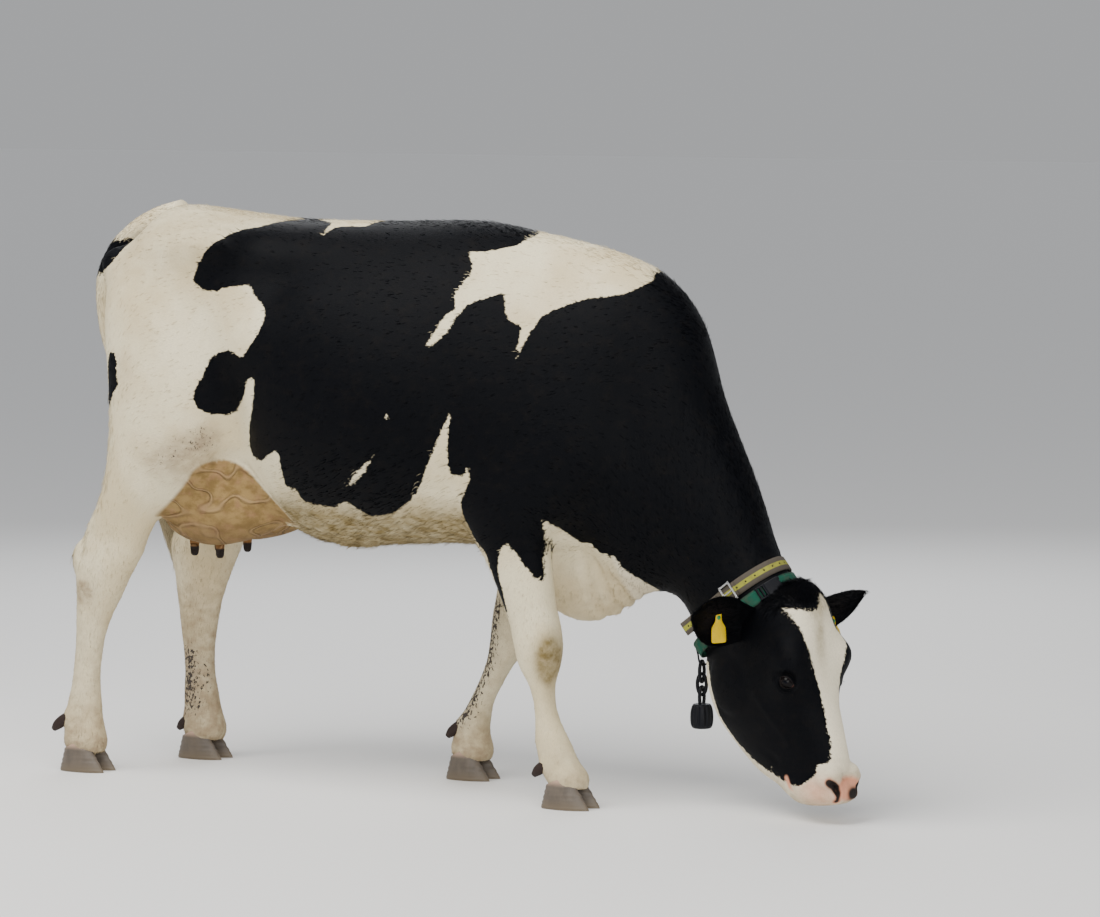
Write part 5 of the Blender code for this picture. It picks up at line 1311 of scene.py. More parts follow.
# A ball whose pole faces outwards: p(u, v) = centre + out * cos(u) + (inner * cos(v) + up * sin(v)) * sin(u).
def makeEyes():
    grids, iris, pupil, corner = [], [], [], []
    for side in (1, -1):
        centre, out, inner, up = eyeAxes(side)
        u = np.linspace(0, math.pi, 33)[:, None]
        v = circle(48)[None]
        across, high = np.sin(u) * np.cos(v), np.sin(u) * np.sin(v)
        bulge = 1 + 0.05 * np.exp(-((u / 0.55) ** 2)) + 0 * v
        rings = np.cos(u + 0 * v)[:, :, None] * out + across[:, :, None] * inner + high[:, :, None] * up
        grids.append(centre + eyeLook["radius"] * 0.985 * bulge[:, :, None] * rings)
        iris.append((u + 0 * v).ravel())
        pupil.append(np.hypot(across / 0.34, high / 0.17).ravel())
        corner.append(across.ravel())
    mesh = meshOf("eyes", *together(grids))
    for name, values in (("iris", iris), ("pupil", pupil), ("corner", corner)):
        setFloat(mesh, name, np.concatenate(values))
    return objectOf("eyes", cleaned(mesh))


wet = freshMaterial("wetEye", roughness=0.2)
colour = layered(
    (0.0055, 0.004, 0.004),
    (ranged(noise((900, 900, 900), 2.0), 0.3, 0.7), (0.0035, 0.003, 0.0035)),
)
colour = layered(
    (0.002, 0.002, 0.004),
    (ranged(mark("pupil"), 0.9, 1.05), colour),
    (ranged(mark("iris"), 0.78, 0.92), (0.007, 0.0055, 0.0055)),
    (ranged(mark("corner"), 0.88, 0.95), (0.075, 0.036, 0.03)),
)
finish({"Base Color": colour, "Specular IOR Level": 0.08, "Coat Weight": 0.04, "Coat Roughness": 0.07})
finished(makeEyes(), wet, "eye", "eye_left", "eye_right")


print("stage: hooves")
hoofLook = {"width": 0.052, "rings": 0.0004}
clawHeights = [0.0, 0.002, 0.006, 0.012, 0.022, 0.034, 0.046, 0.058, 0.07, 0.078]


# Level sections of a claw: the toe wall slopes back with height, and the side that faces its pair is flat.
def clawRings(heel, toe, y, side):
    height = smoothRows([(level,) for level in clawHeights], 3)
    share = height / clawHeights[-1]
    front = toe - 0.052 * share - 0.0015 * unit(1 - height / 0.006)
    back = heel + 0.016 * share + 0.002 * unit(1 - height / 0.006)
    half = hoofLook["width"] / 2 * (1 - 0.2 * share) - 0.0015 * unit(1 - height / 0.006) - 0.0006
    turn = circle(40)[None]
    across, along = np.sin(turn), np.cos(turn)
    reach = (np.abs(across) ** 2.15 + np.abs(along) ** 2.15) ** (-1 / 2.15)
    grooves = 1 + hoofLook["rings"] / 0.02 * np.sin(height / 0.0052 * 2 * math.pi) * unit(height / 0.02)
    x = (front + back) / 2 + (front - back) / 2 * along * reach * grooves
    pointed = 1 - 0.45 * unit(along) ** 2
    out = across * reach * pointed * half * grooves * np.where(across * side > 0, 1.0, 0.86)
    rings = np.stack([x, y + out, height + 0 * x], 2)
    rings[:, :, 2] -= unit((front - x) / (front - back) - 0.35) * 0.03 * share
    return rings + shift


claws, dewclaws = [], []
for heel, toe, y, dewX, dewZ in feet.values():
    for side in (1, -1):
        claws.append(capped(clawRings(heel, toe, y + side * (hoofLook["width"] / 2 + 0.002), side)))
        rows = [
            (dewX + 0.03, y + side * 0.024, dewZ + 0.022, 0.013),
            (dewX + 0.012, y + side * 0.027, dewZ + 0.01, 0.0148),
            (dewX - 0.006, y + side * 0.029, dewZ - 0.004, 0.0132),
            (dewX - 0.018, y + side * 0.03, dewZ - 0.016, 0.007),
        ]
        dewclaws.append(capped(pathRings(rows, 5, 20) + shift))
horn = freshMaterial("horn", roughness=0.48)
level = heightOf()
colour = layered(
    (0.115, 0.092, 0.07),
    (ranged(noise((60, 60, 26)), 0.3, 0.7), (0.085, 0.068, 0.052)),
    (ranged(level, 0.03, 0.0), (0.13, 0.1, 0.065)),
    (ranged(level, 0.056, 0.072), (0.4, 0.27, 0.19)),
)
wave = {"Vector": stretched((1, 1, 1)), "Scale": 30.0, "Distortion": 0.8, "Detail": 1.0}
bands = node("ShaderNodeTexWave", wave, 1, bands_direction="Z")
finish({"Base Color": colour, "Normal": bumped(bands, 0.28, 0.0012)})
darkHorn = freshMaterial("darkHorn", (0.026, 0.016, 0.013), 0.55)
finish({"Specular IOR Level": 0.2, "Normal": bumped(noise((150, 150, 150)), 0.4, 0.001)})
clawNodes = [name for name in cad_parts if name.startswith("claw")]
dewclawNodes = [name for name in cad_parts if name.startswith("dewclaw")]
finished(solidOf("claws", claws), horn, "horn", *clawNodes)
finished(solidOf("dewclaws", dewclaws), darkHorn, "horn", *dewclawNodes)


print("stage: collars")
strapLook = {
    "tilt": 37.0, "upper": (0.105, 0.088, 0.07), "stripe": (0.4, 0.4, 0.055), "green": (0.004, 0.095, 0.058)
}
straps = {
    "upper": ((0.785, 0, 0.535), 0.038, 0.0045, 0.004),
    "lower": ((0.815, 0, 0.497), 0.036, 0.003, 0.027),
}
tilt = math.radians(strapLook["tilt"])
alongNeck = np.array([math.sin(tilt), 0.0, -math.cos(tilt)])
skinFaces = allFaces[0][(points[allFaces[0][:, 0], 0] > 0.55) & (points[allFaces[0][:, 0], 2] < 0.85)]
neckTree = BVHTree.FromPolygons((allPoints[0] - shift).tolist(), skinFaces.tolist())


# reach(turn) = how far the skin is from the loop's middle along a ray, eased so that the strap bridges hollows.
def collarPath(origin, count, sag):
    ahead = np.array([math.cos(tilt), 0, math.sin(tilt)])
    turn = circle(count)
    outs = np.cos(turn)[:, None] * ahead + np.sin(turn)[:, None] * np.array([0.0, 1.0, 0.0])
    hits = [neckTree.ray_cast(Vector(np.array(origin) + out * 0.2), Vector(-out)) for out in outs]
    reach = np.array([0.2 - hit[3] for hit in hits])
    wide = np.array([reach, *(np.roll(reach, k) - 0.0012 * abs(k) for k in range(-6, 7))]).max(axis=0)
    for _ in range(10):
        wide = (np.roll(wide, 1) + 2 * wide + np.roll(wide, -1)) / 4
    low = unit(-np.cos(turn)) ** 2
    reach = np.maximum(wide, reach) + 0.0012 + sag * low
    return np.array(origin) + outs * reach[:, None], outs


# The outline of a strap's section: width across, thickness out, rounded edges and a shallow bow.
def strapSection(width, thick):
    across = np.array(
        [-0.5, -0.495, -0.47, -0.25, 0.0, 0.25, 0.47, 0.495, 0.5, 0.5, 0.495, 0.47, 0.0, -0.47, -0.495, -0.5]
    )
    out = np.array([0.5, 0.8, 1.0, 1.06, 1.08, 1.06, 1.0, 0.8, 0.5, 0.5, 0.2, 0.0, 0.0, 0.0, 0.2, 0.5])
    return across * width, out * thick


# p(u, v) = path(u) + along the neck * across(v) + outwards * out(v).
def strapPiece(name, path, outs, width, thick, closed=True):
    across, out = strapSection(width, thick)
    rings = path[:, None] + across[None, :, None] * alongNeck + out[None, :, None] * outs[:, None]
    step = np.linalg.norm(np.diff(path, axis=0, append=path[:1]), axis=1)
    length = np.concatenate([[0], np.cumsum(step)])[: len(path)]
    around = rings.shape[1]
    if closed:
        rings = np.concatenate([rings, rings[:1]])
        length = np.append(length, length[-1] + step[-1])
    mesh = meshOf(name, *together([rings]))
    setFloat(mesh, "onward", np.repeat(length, around))
    setFloat(mesh, "across", np.tile(across, len(rings)))
    return objectOf(name, cleaned(mesh, fill=not closed))


# A point at an angle round a collar, off its outer face by a distance, and the directions there.
def onStrap(path, degrees, outBy):
    loop, outs, thick = path
    place = (degrees % 360) / 360 * len(loop)
    first = int(place) % len(loop)
    share = place - int(place)
    after = (first + 1) % len(loop)
    out = outs[first] * (1 - share) + outs[after] * share
    out /= np.linalg.norm(out)
    onward = loop[after] - loop[first]
    point = loop[first] * (1 - share) + loop[after] * share + out * (thick + outBy)
    return point, onward / np.linalg.norm(onward), out


# Woven cloth: fine ribs across a strap with painted shade in their hollows, its stripe or edge colour, dirt, and
# dark holes at equal steps.
def wovenMaterial(name, colour, stripe, holes):
    made = freshMaterial(name, roughness=0.85)
    onward, across = mark("onward"), mark("across")
    height = calc("SINE", onward * 2800.0) * calc("SINE", across * 3400.0)
    soil = noise((55, 55, 55), 4.0, 0.65)
    middle = calc("ABSOLUTE", across)
    if stripe:
        edge = (ranged(middle, 0.0068, 0.0055), stripe)
    else:
        edge = (ranged(middle, 0.0135, 0.015), tuple(0.55 * c for c in colour))
    layers = [edge, (ranged(soil, 0.4, 0.75, (0.0, 0.65)), (0.09, 0.075, 0.055))]
    # Painted shade in the weave: the cloth darkens where the ribs dip.
    layers.append((ranged(height, -1.0, 1.0, (0.35, 0.0)), (0.03, 0.03, 0.025)))
    if holes:
        step = calc("FRACT", calc("DIVIDE", onward, 0.026)) - 0.5
        gap = calc("SQRT", calc("POWER", step * 0.026, 2.0) + calc("POWER", across, 2.0))
        layers.append((ranged(gap, 0.0026, 0.002), (0.012, 0.011, 0.01)))
        height = height * ranged(gap, 0.002, 0.004)
    finish({"Base Color": layered(colour, *layers), "Normal": bumped(height, 0.6, 0.0006)})
    finish({"Specular IOR Level": 0.15})
    return made


strapPaths = {}
for key, (origin, width, thick, sag) in straps.items():
    path, outs = collarPath(origin, 168, sag)
    strapPaths[key] = (path + shift, outs, thick)
greyWoven = wovenMaterial("greyStrap", strapLook["upper"], strapLook["stripe"], True)
greenWoven = wovenMaterial("greenStrap", strapLook["green"], None, False)
for key, woven in (("upper", greyWoven), ("lower", greenWoven)):
    piece = strapPiece("collar" + key.title(), *strapPaths[key][:2], *straps[key][1:3])
    finished(piece, woven, "grey_strap" if key == "upper" else "green_strap", "collar_" + key)
freeEnd = [(-66, 0.0), (-80, 0.0), (-94, 0.0), (-108, 0.001), (-120, 0.006), (-131, 0.019), (-140, 0.036)]
endPath = smoothRows([onStrap(strapPaths["upper"], degrees, 0.0006 + off)[0] for degrees, off in freeEnd], 8)
endOuts = unitRows(np.cross(np.gradient(endPath, axis=0), alongNeck))
endOuts *= np.sign((endOuts * (endPath - np.array(straps["upper"][0]))).sum(axis=1))[:, None]
finished(strapPiece("collarEnd", endPath, endOuts, 0.036, 0.0045, False), greyWoven, "grey_strap", "collar_end")


# A box on three directions with rounded edges, as points and faces of its own mesh.
def addBox(body, centre, axes, sizes, rounding):
    made = bmesh.new()
    bmesh.ops.create_cube(made, size=1.0)
    bmesh.ops.scale(made, vec=sizes, verts=made.verts)
    bmesh.ops.bevel(made, geom=made.edges[:], offset=rounding, segments=3, profile=0.6, affect="EDGES")
    frameAxes = np.array([np.array(axis) / np.linalg.norm(axis) for axis in axes])
    for vert in made.verts:
        vert.co = Vector(np.array(centre) + np.array(vert.co) @ frameAxes)
    held = bpy.data.meshes.new("held")
    made.to_mesh(held)
    made.free()
    body.from_mesh(held)
    bpy.data.meshes.remove(held)


# A closed round wire: p(u, v) = path(u) + radius * (side * cos(v) + flat * sin(v)).
def wireGrid(path, radius, around=14):
    path = np.array(path)
    onward = unitRows(np.roll(path, -1, axis=0) - np.roll(path, 1, axis=0))
    flat = np.cross(path[0] - path.mean(axis=0), path[len(path) // 4] - path.mean(axis=0))
    flat /= np.linalg.norm(flat)
    side = np.cross(onward, flat)
    turn = circle(around)[None, :, None]
    rings = path[:, None] + radius * (np.cos(turn) * side[:, None] + np.sin(turn) * flat)
    return np.concatenate([rings, rings[:1]])


def closedCurve(corners, steps=5):
    corners = np.array(corners)
    return smoothRows(np.vstack([corners[-2:], corners, corners[:3]]), steps)[2 * steps:-2 * steps - 1]


def fromBmesh(name, body):
    bmesh.ops.recalc_face_normals(body, faces=body.faces)
    mesh = bpy.data.meshes.new(name)
    body.to_mesh(mesh)
    body.free()
    mesh.shade_smooth()
    return objectOf(name, mesh)


metal = freshMaterial("buckleMetal", (0.55, 0.55, 0.54), 0.28, 1.0)
finish({"Roughness": ranged(noise((300, 300, 300), 4.0), 0.3, 0.8, (0.2, 0.45))})
plastic = freshMaterial("blackPlastic", (0.006, 0.0065, 0.009), 0.45)
finish({"Specular IOR Level": 0.12, "Roughness": ranged(noise((180, 180, 180), 4.0), 0.3, 0.8, (0.34, 0.6))})
point, onward, out = onStrap(strapPaths["upper"], -76.0, 0.0006 + 0.0045 + 0.0035)
body = bmesh.new()
crossways = np.cross(out, onward)
axes = (onward, crossways, out)
for way in (1, -1):
    addBox(body, point + way * 0.0225 * crossways, axes, (0.034, 0.005, 0.0035), 0.0014)
for way in (1, -1):
    addBox(body, point + way * 0.0145 * onward, axes, (0.005, 0.05, 0.0035), 0.0014)
addBox(body, point + 0.0012 * out, axes, (0.03, 0.0035, 0.0028), 0.0012)
finished(fromBmesh("buckle", body), metal, "buckle", "buckle")
point, onward, out = onStrap(strapPaths["lower"], -42.0, 0.004)
crossways = np.cross(out, onward)
body = bmesh.new()
axes = (onward, crossways, out)
addBox(body, point + 0.012 * onward, axes, (0.04, 0.034, 0.0105), 0.0028)
for slot in (-0.0285, -0.0185, -0.0095):
    addBox(body, point + slot * onward, axes, (0.0045, 0.034, 0.0075), 0.0016)
for edge in (-0.0152, 0.0152):
    addBox(body, point - 0.018 * onward + edge * crossways, axes, (0.028, 0.0036, 0.007), 0.0014)
for edge in (-0.0115, 0.0115):
    addBox(body, point + 0.03 * onward + edge * crossways, axes, (0.01, 0.009, 0.0085), 0.0022)
finished(fromBmesh("collarClip", body), plastic, "black_plastic", "collar_clip")

print("stage: weight")
low, onward, out = onStrap(strapPaths["lower"], 180.0, 0.0)
corners = [
    (-0.022, -0.008), (0.0, -0.009), (0.022, -0.008), (0.03, 0.004), (0.03, 0.015), (0.026, 0.022), (0.016, 0.0235),
    (-0.002, 0.015), (-0.022, 0.006),
]
ring = closedCurve([low + a * alongNeck + b * out for a, b in corners])
hangX, hangY, hangZ = low + 0.026 * alongNeck + 0.022 * out
weightLook = {"foot": 0.198, "height": 0.062, "radius": 0.029, "flutes": 9}
top = weightLook["foot"] + weightLook["height"]
step = (hangZ - top) / 3
turn = circle(48)[:, None]


# A link's middle line: an oval about a height, wide along the first direction.
def linkPath(height, first):
    middle = np.array([hangX, hangY, height])
    return middle + np.cos(turn) * np.array(first) + np.sin(turn) * np.array([0, 0, step * 0.5 + 0.01])


links = [linkPath(hangZ - 0.5 * step, (0, 0.0125, 0)), linkPath(hangZ - 1.5 * step, (0.0125, 0, 0))]
eyelet = linkPath(top + 0.5 * step, (0, 0.0125, 0))
finished(solidOf("weightRing", [wireGrid(ring, 0.0024)]), plastic, "black_plastic", "weight_ring")
finished(
    solidOf("weightLinks", [wireGrid(link, 0.0046) for link in links]), plastic, "black_plastic",
    "weight_link_upper", "weight_link_lower"
)
drumRows = [
    (0.0, 0.62), (0.01, 0.74), (0.06, 0.86), (0.16, 0.95), (0.34, 1.0), (0.52, 1.0), (0.7, 0.97), (0.84, 0.9),
    (0.93, 0.82), (0.985, 0.72), (1.0, 0.58),
]
profile = smoothRows(drumRows, 4)
turn = circle(144)[None]
share = profile[:, :1]
flute = unit(np.cos(weightLook["flutes"] * turn)) ** 2
flute = 1 - 0.12 * flute * unit((share - 0.08) / 0.08) * unit((0.97 - share) / 0.1)
reach = weightLook["radius"] * profile[:, 1:] * flute
level = weightLook["foot"] + weightLook["height"] * share + 0 * turn
drum = np.stack([hangX + reach * np.cos(turn), hangY + reach * np.sin(turn), level], 2)
finished(solidOf("weight", [capped(drum), wireGrid(eyelet, 0.0046)]), plastic, "black_plastic", "weight")

print("stage: ear tags")
tagLook = {"colour": (0.76, 0.51, 0.0), "pin": (0.02, 0.24, 0.09)}
tagOutline = [(-8, -12), (8, -12), (9.5, 8), (21, 25), (22, 62), (-22, 62), (-21, 25), (-9.5, 8)]
tags = {
    "ear_tag_right": ("ear_right", (0.886, -0.236, 0.513), (0.45, 0.89, 0.0), (0.09, -0.15, -0.98)),
    "ear_tag_left": ("ear_left", (1.03, 0.17, 0.486), (0.0, 1.0, 0.0), (0.26, 0.0, -0.965)),
}


# A flat plate with rounded corners and a round button: p = pin + across * u + down * v + ahead * thickness.
def tagPiece(name, ear, start, across, down):
    across = np.array(across) / np.linalg.norm(across)
    down = np.array(down) / np.linalg.norm(down)
    ahead = np.cross(across, down)
    ahead *= -1 if ahead[0] < 0 else 1
    rings = earFrames[ear]
    tree = BVHTree.FromPolygons(rings.reshape(-1, 3).tolist(), gridQuads(*rings.shape[:2]).tolist())
    hit = tree.ray_cast(Vector(np.array(start) + shift), Vector(-ahead))[0]
    pin = np.array(hit) + 0.004 * ahead
    corners = np.array(tagOutline, float)
    share = np.linspace(0, 1, 14, endpoint=False)[:, None]
    following = np.roll(corners, -1, axis=0)
    dense = np.concatenate([a + (b - a) * share for a, b in zip(corners, following)])
    for _ in range(5):
        dense = (np.roll(dense, 1, axis=0) + 2 * dense + np.roll(dense, -1, axis=0)) / 4
    plate = []
    for inset, depth in ((0.6, 0.0), (0.15, 0.0002), (0.0, 0.0006), (0.0, 0.0016), (0.15, 0.002), (0.6, 0.0022)):
        shrunk = dense - inset * (dense - [0, 25]) / 40
        bow = 0.0012 * ((shrunk[:, 1:] - 25) / 37) ** 2
        plate.append(pin + 0.001 * (shrunk[:, :1] * across + shrunk[:, 1:] * down) + (depth + bow) * ahead)
    side = circle(40)[:, None]
    disc = np.cos(side) * across + np.sin(side) * down
    levels = (0.0058, -0.004), (0.0058, 0.0026), (0.0054, 0.0032), (0.004, 0.0036), (0.003, 0.0048), (
        0.0015, 0.0056
    )
    button = [pin + reach * disc + depth * ahead for reach, depth in levels]
    made = solidOf(name, [capped(np.stack(plate)), capped(np.stack(button))])
    places, _ = arraysOf(made.data)
    away = places - pin
    isButton = (np.hypot(away @ across, away @ down) < 0.0062) & (np.abs(away @ ahead - 0.001) > 0.0016)
    setFloat(made.data, "button", isButton.astype(float))
    return made


yellow = freshMaterial("tagPlastic", tagLook["colour"], 0.42)
soil = ranged(noise((90, 90, 90), 4.0), 0.45, 0.8, (0.0, 0.3))
colour = layered(tagLook["colour"], (soil, (0.42, 0.28, 0.0)), (mark("button"), tagLook["pin"]))
finish({"Base Color": colour, "Specular IOR Level": 0.2})
for name, values in tags.items():
    finished(tagPiece("tagLeft" if name.endswith("left") else "tagRight", *values), yellow, "tag", name)


print("stage: coat")
faceCorners = points[faces]
faceMiddle = faceCorners.mean(axis=1)
faceCross = np.cross(faceCorners[:, 1] - faceCorners[:, 0], faceCorners[:, 2] - faceCorners[:, 0])
faceArea = np.linalg.norm(faceCross, axis=1) / 2
pointNormals = normalsOf(skinMesh, points)
flatMiddle = turned(faceMiddle - shift, back=True)
faceMarks = {name: values[faces].mean(axis=1) for name, values in marks.items()}
islandStart = len(allPoints[0])
isBodyFace = faces.max(axis=1) < islandStart
faceNormal = faceCross / np.maximum(np.linalg.norm(faceCross, axis=1), 1e-12)[:, None]


# The lie: back and down the trunk, up the lowered neck, down the legs, and out from a whorl on the brow.
def lieOf(places, normals):
    flat = turned(places - shift, back=True)
    x, z = flat[:, 0], flat[:, 2]
    ahead = downNeck(x, z)
    lie = np.stack([-np.ones(len(x)), 0 * x, -0.3 + 0 * x], 1)
    lie[:, 2] += 0.45 * unit((z - 1.25) / 0.15)
    neck = (unit((ahead + 0.2) / 0.25) * (x > 0.3))[:, None]
    lie = lie * (1 - neck) + neck * np.array([-0.62, 0, 0.7])
    leg = (
        unit((0.7 - z) / 0.15) * ((x < 0.55) & (x > -1.2)) * (1 - ((x > -0.45) & (x < 0.25) & (z > 0.62)))
    )[:, None]
    lie = lie * (1 - leg) + leg * np.array([-0.22, 0, -1.0])
    rump = (unit((-0.78 - x) / 0.12) * unit((1.36 - z) / 0.1))[:, None]
    lie = lie * (1 - rump) + rump * np.array([-0.1, 0, -1.0])
    whorl = flat - [1.0, 0.0, 0.42]
    away = whorl / np.maximum(np.linalg.norm(whorl, axis=1), 0.01)[:, None]
    cheek = unit((np.abs(flat[:, 1]) - 0.055) / 0.03)[:, None]
    face = away * (1 - cheek) + cheek * np.array([-0.45, 0, -0.8])
    head = (unit((ahead - 0.4) / 0.06) * (x > 0.6))[:, None]
    lie = lie * (1 - head) + head * face
    lie -= normals * (lie * normals).sum(axis=1)[:, None]
    return lie / np.maximum(np.linalg.norm(lie, axis=1), 1e-6)[:, None]


collarGap = 0.03  # no fur is nearer than this to the plane of the collars


def countOf(look):
    return look["count"] // 1


def lengthsOf(look, count, share=1.0):
    low, high = look["length"]
    return low + (high - low) * rng.random(count) * share


# Roots spread over the faces by area times density; the mix of the corners is even over each triangle.
def rootsOn(density, count):
    weight = np.clip(density, 0, None) * faceArea
    share = np.cumsum(weight) / weight.sum()
    chosen = np.searchsorted(share, rng.random(count))
    chosen = np.minimum(chosen, len(faces) - 1)
    a, b = rng.random((2, count))
    over = a + b > 1
    a, b = np.where(over, 1 - a, a), np.where(over, 1 - b, b)
    mix = np.stack([1 - a - b, a, b], 1)
    corners = faces[chosen]
    roots = (points[corners] * mix[:, :, None]).sum(axis=1)
    normals = (pointNormals[corners] * mix[:, :, None]).sum(axis=1)
    normals = unitRows(normals)
    return roots, normals, {name: (values[corners] * mix).sum(axis=1) for name, values in marks.items()}


bakePatch = 0.003  # side of a tuft's own place in the map


# Each place's share of the way round and along its part of the body, in that part's own corner of the map.
def unwrapped(places, cell):
    x, y, z = places.T
    left, low, wide, tall = cell
    if cell == coatCells["legs"]:
        column = 2 * (x < -0.45) + (y > 0)
        middleX = np.select([column == 0, column == 1, column == 2], [0.34, -0.06, -1.02], -0.93)
        lap = np.arctan2(np.abs(y) - 0.17, x - middleX) / (2 * math.pi) + 0.5
        return np.stack([left + wide * (column + lap * 0.96) / 4, low + tall * unit(z / 0.9)], 1)
    if cell == coatCells["tail"]:
        return np.stack(
            [left + wide * (np.arctan2(y - 0.1, x + 1.05) / (2 * math.pi) + 0.5), low + tall * unit(z / 1.5)], 1
        )
    if cell == coatCells["trunk"]:
        lap = np.arctan2(y, z - 1.0) / (2 * math.pi) + 0.5
        return np.stack([left + wide * unit((x + 1.15) / 2.1), low + tall * lap], 1)
    flat = turned(places - shift, back=True)
    along = (0.3 * flat[:, 0] - 0.95 * flat[:, 2] + 0.35) / 0.7
    lap = np.arctan2(flat[:, 1], flat[:, 0] - 0.92) / (2 * math.pi) + 0.5
    return np.stack([left + wide * lap, low + tall * unit(along)], 1)


coatCells = {
    "trunk": (0.01, 0.01, 0.62, 0.62), "head": (0.65, 0.01, 0.34, 0.4), "legs": (0.01, 0.65, 0.8, 0.34),
    "tail": (0.84, 0.65, 0.15, 0.34), "ears": (0.65, 0.43, 0.34, 0.2)
}
coatLooks = {  # count, length, width, lift, wave, cell
    "coatTrunkRight": (10500, (0.013, 0.02), 0.0016, 0.06, 0.04, "trunk"),
    "coatTrunkLeft": (10500, (0.013, 0.02), 0.0016, 0.06, 0.04, "trunk"),
    "coatNeck": (9500, (0.011, 0.017), 0.0014, 0.06, 0.04, "trunk"),
    "coatUnder": (7500, (0.018, 0.034), 0.0018, 0.26, 0.12, "trunk"),
    "coatTop": (6000, (0.014, 0.024), 0.0014, 0.16, 0.1, "trunk"),
    "coatForelegs": (8500, (0.008, 0.014), 0.0013, 0.12, 0.05, "legs"),
    "coatHindlegs": (9500, (0.009, 0.016), 0.0013, 0.12, 0.05, "legs"),
    "coatHead": (12000, (0.0055, 0.0095), 0.0009, 0.1, 0.05, "head"),
    "coatPoll": (5200, (0.016, 0.032), 0.0014, 0.2, 0.28, "head"),
    "coatEars": (5200, (0.01, 0.022), 0.0009, 0.25, 0.1, "ears"),
    "coatTail": (4500, (0.01, 0.02), 0.0015, 0.16, 0.06, "tail"),
    "coatSwitch": (2600, (0.07, 0.13), 0.0019, 0.06, 0.05, "tail"),
}
lookKeys = ("count", "length", "width", "lift", "wave", "cell")
coatLooks = {name: dict(zip(lookKeys, look)) for name, look in coatLooks.items()}
sectionTurn = circle(3)
tuftSteps = np.array([0.0, 0.38, 0.72])
tuftRoot = 0.0008  # how far a tuft starts below the skin
tuftFaces = np.array(
    [(0, 2, 1)]
    + [
        face for i in (0, 3) for k in range(3)
        for face in ((i + k, i + (k + 1) % 3, i + 3 + (k + 1) % 3), (i + k, i + 3 + (k + 1) % 3, i + 3 + k))
    ]
    + [(6 + k, 6 + (k + 1) % 3, 9) for k in range(3)]
)


# A tuft, thin at its tip: spine(t) = root + length * (lie * t + normal * lift * (t - 0.45 t^2) + side * wave * sin).
def tuftPiece(name, roots, normals, lies, lengths, look, values, droop=0.0):
    count = len(roots)
    side = unitRows(np.cross(normals, lies))
    lift = look["lift"] * (0.5 + rng.random(count))[:, None, None]
    wave = look["wave"] * rng.normal(size=count)[:, None, None]
    t = np.append(tuftSteps, 1.0)[None, :, None]
    long = lengths[:, None, None]
    bend = lies[:, None] * t + normals[:, None] * lift * (t - 0.45 * t**2)
    bend = bend + side[:, None] * wave * np.sin(t * 2.6 + 0.4)
    spine = (roots - tuftRoot * normals)[:, None] + long * bend
    spine[:, :, 2] -= (droop * long * t**2)[:, :, 0]
    width = look["width"] * (0.7 + 0.6 * rng.random(count))[:, None, None]
    thin = np.array([0.9, 1.0, 0.62])[None, :, None]
    across = width * thin * 0.5
    ring = (
        side[:, None, None] * (across * np.cos(sectionTurn)[None, None])[..., None]
        + normals[:, None, None] * (across * 0.42 * np.sin(sectionTurn)[None, None])[..., None]
    )
    body = spine[:, :3, None] + ring
    made = np.concatenate([body.reshape(count, 9, 3), spine[:, 3:]], 1)
    triangles = (tuftFaces[None] + 10 * np.arange(count)[:, None, None]).reshape(-1, 3)
    mesh = meshOf(name, made.reshape(-1, 3), triangles)
    mesh.shade_smooth()
    for key in ("dark", "dirt", "warm", "nape", "flank", "speck"):
        setFloat(mesh, key, np.repeat(values[key], 10))
    setFloat(mesh, "vary", np.repeat(rng.random(count), 10))
    patch = np.array([(a, b) for b in (0.0, 0.4, 0.75) for a in (0.0, 1.0, 0.5)] + [(0.5, 1.0)]) * bakePatch
    places = unwrapped(roots, coatCells[look["cell"]])[:, None] + patch
    layer = mesh.uv_layers.new(name="OFBake")
    layer.uv.foreach_set("vector", places.reshape(-1, 2)[triangles.ravel()].astype(np.float32).ravel())
    return finished(objectOf(name, mesh), tuftCoat, "white_coat")


x, y, z = faceMiddle.T
fx, fy, fz = flatMiddle.T
faceAhead = downNeck(fx, fz)
onHead = isBodyFace & (faceAhead > 0.44) & (fx > 0.6)
onNeck = isBodyFace & (faceAhead > 0.02) & (fx > 0.45) & ~onHead
legs = isBodyFace & (z < 0.66) & (x < 0.55) & ~((x > -0.42) & (x < 0.05) & (np.abs(y) < 0.13) & (z > 0.55))
furred = 1 - unit(faceMarks["bare"] * 1.6)
clear = isBodyFace * furred
trunkArea = clear * ~onHead * ~onNeck * ~legs
awayFromCollar = np.abs((faceMiddle - np.array(collarPoint)) @ np.array(collarNormal)) > collarGap
topFace = unit((0.07 - np.abs(y)) / 0.03) * (faceNormal[:, 2] > 0.3)
densities = {
    "coatTrunkRight": trunkArea * (y < 0),
    "coatTrunkLeft": trunkArea * (y >= 0),
    "coatNeck": clear * onNeck * awayFromCollar,
    "coatUnder": clear * (
        unit(-faceNormal[:, 2] - 0.15) * (z > 0.5) * (x > -0.42) * (x < 0.62)
        + 0.6 * (x < -0.62) * (faceNormal[:, 0] < -0.45) * (z < 1.0) * (z > 0.52)
    ),
    "coatTop": clear * topFace * ~onHead * (x < 0.86) * awayFromCollar,
    "coatForelegs": clear * legs * (x > -0.35),
    "coatHindlegs": clear * legs * (x <= -0.35),
    "coatHead": clear * onHead * awayFromCollar * (1 - unit(faceMarks["dusk"] * 2)),
    "coatPoll": isBodyFace * onHead * awayFromCollar * bell(flatMiddle, (0.985, 0.0, 0.56), (0.05, 0.062, 0.03)),
}
lengthScale = {
    "coatHead": lambda places: np.clip((turned(places - shift, back=True)[:, 2] - 0.05) / 0.25, 0.45, 1.2),
    "coatUnder": lambda places: np.where(places[:, 0] > 0.22, 0.42, 0.85),
}
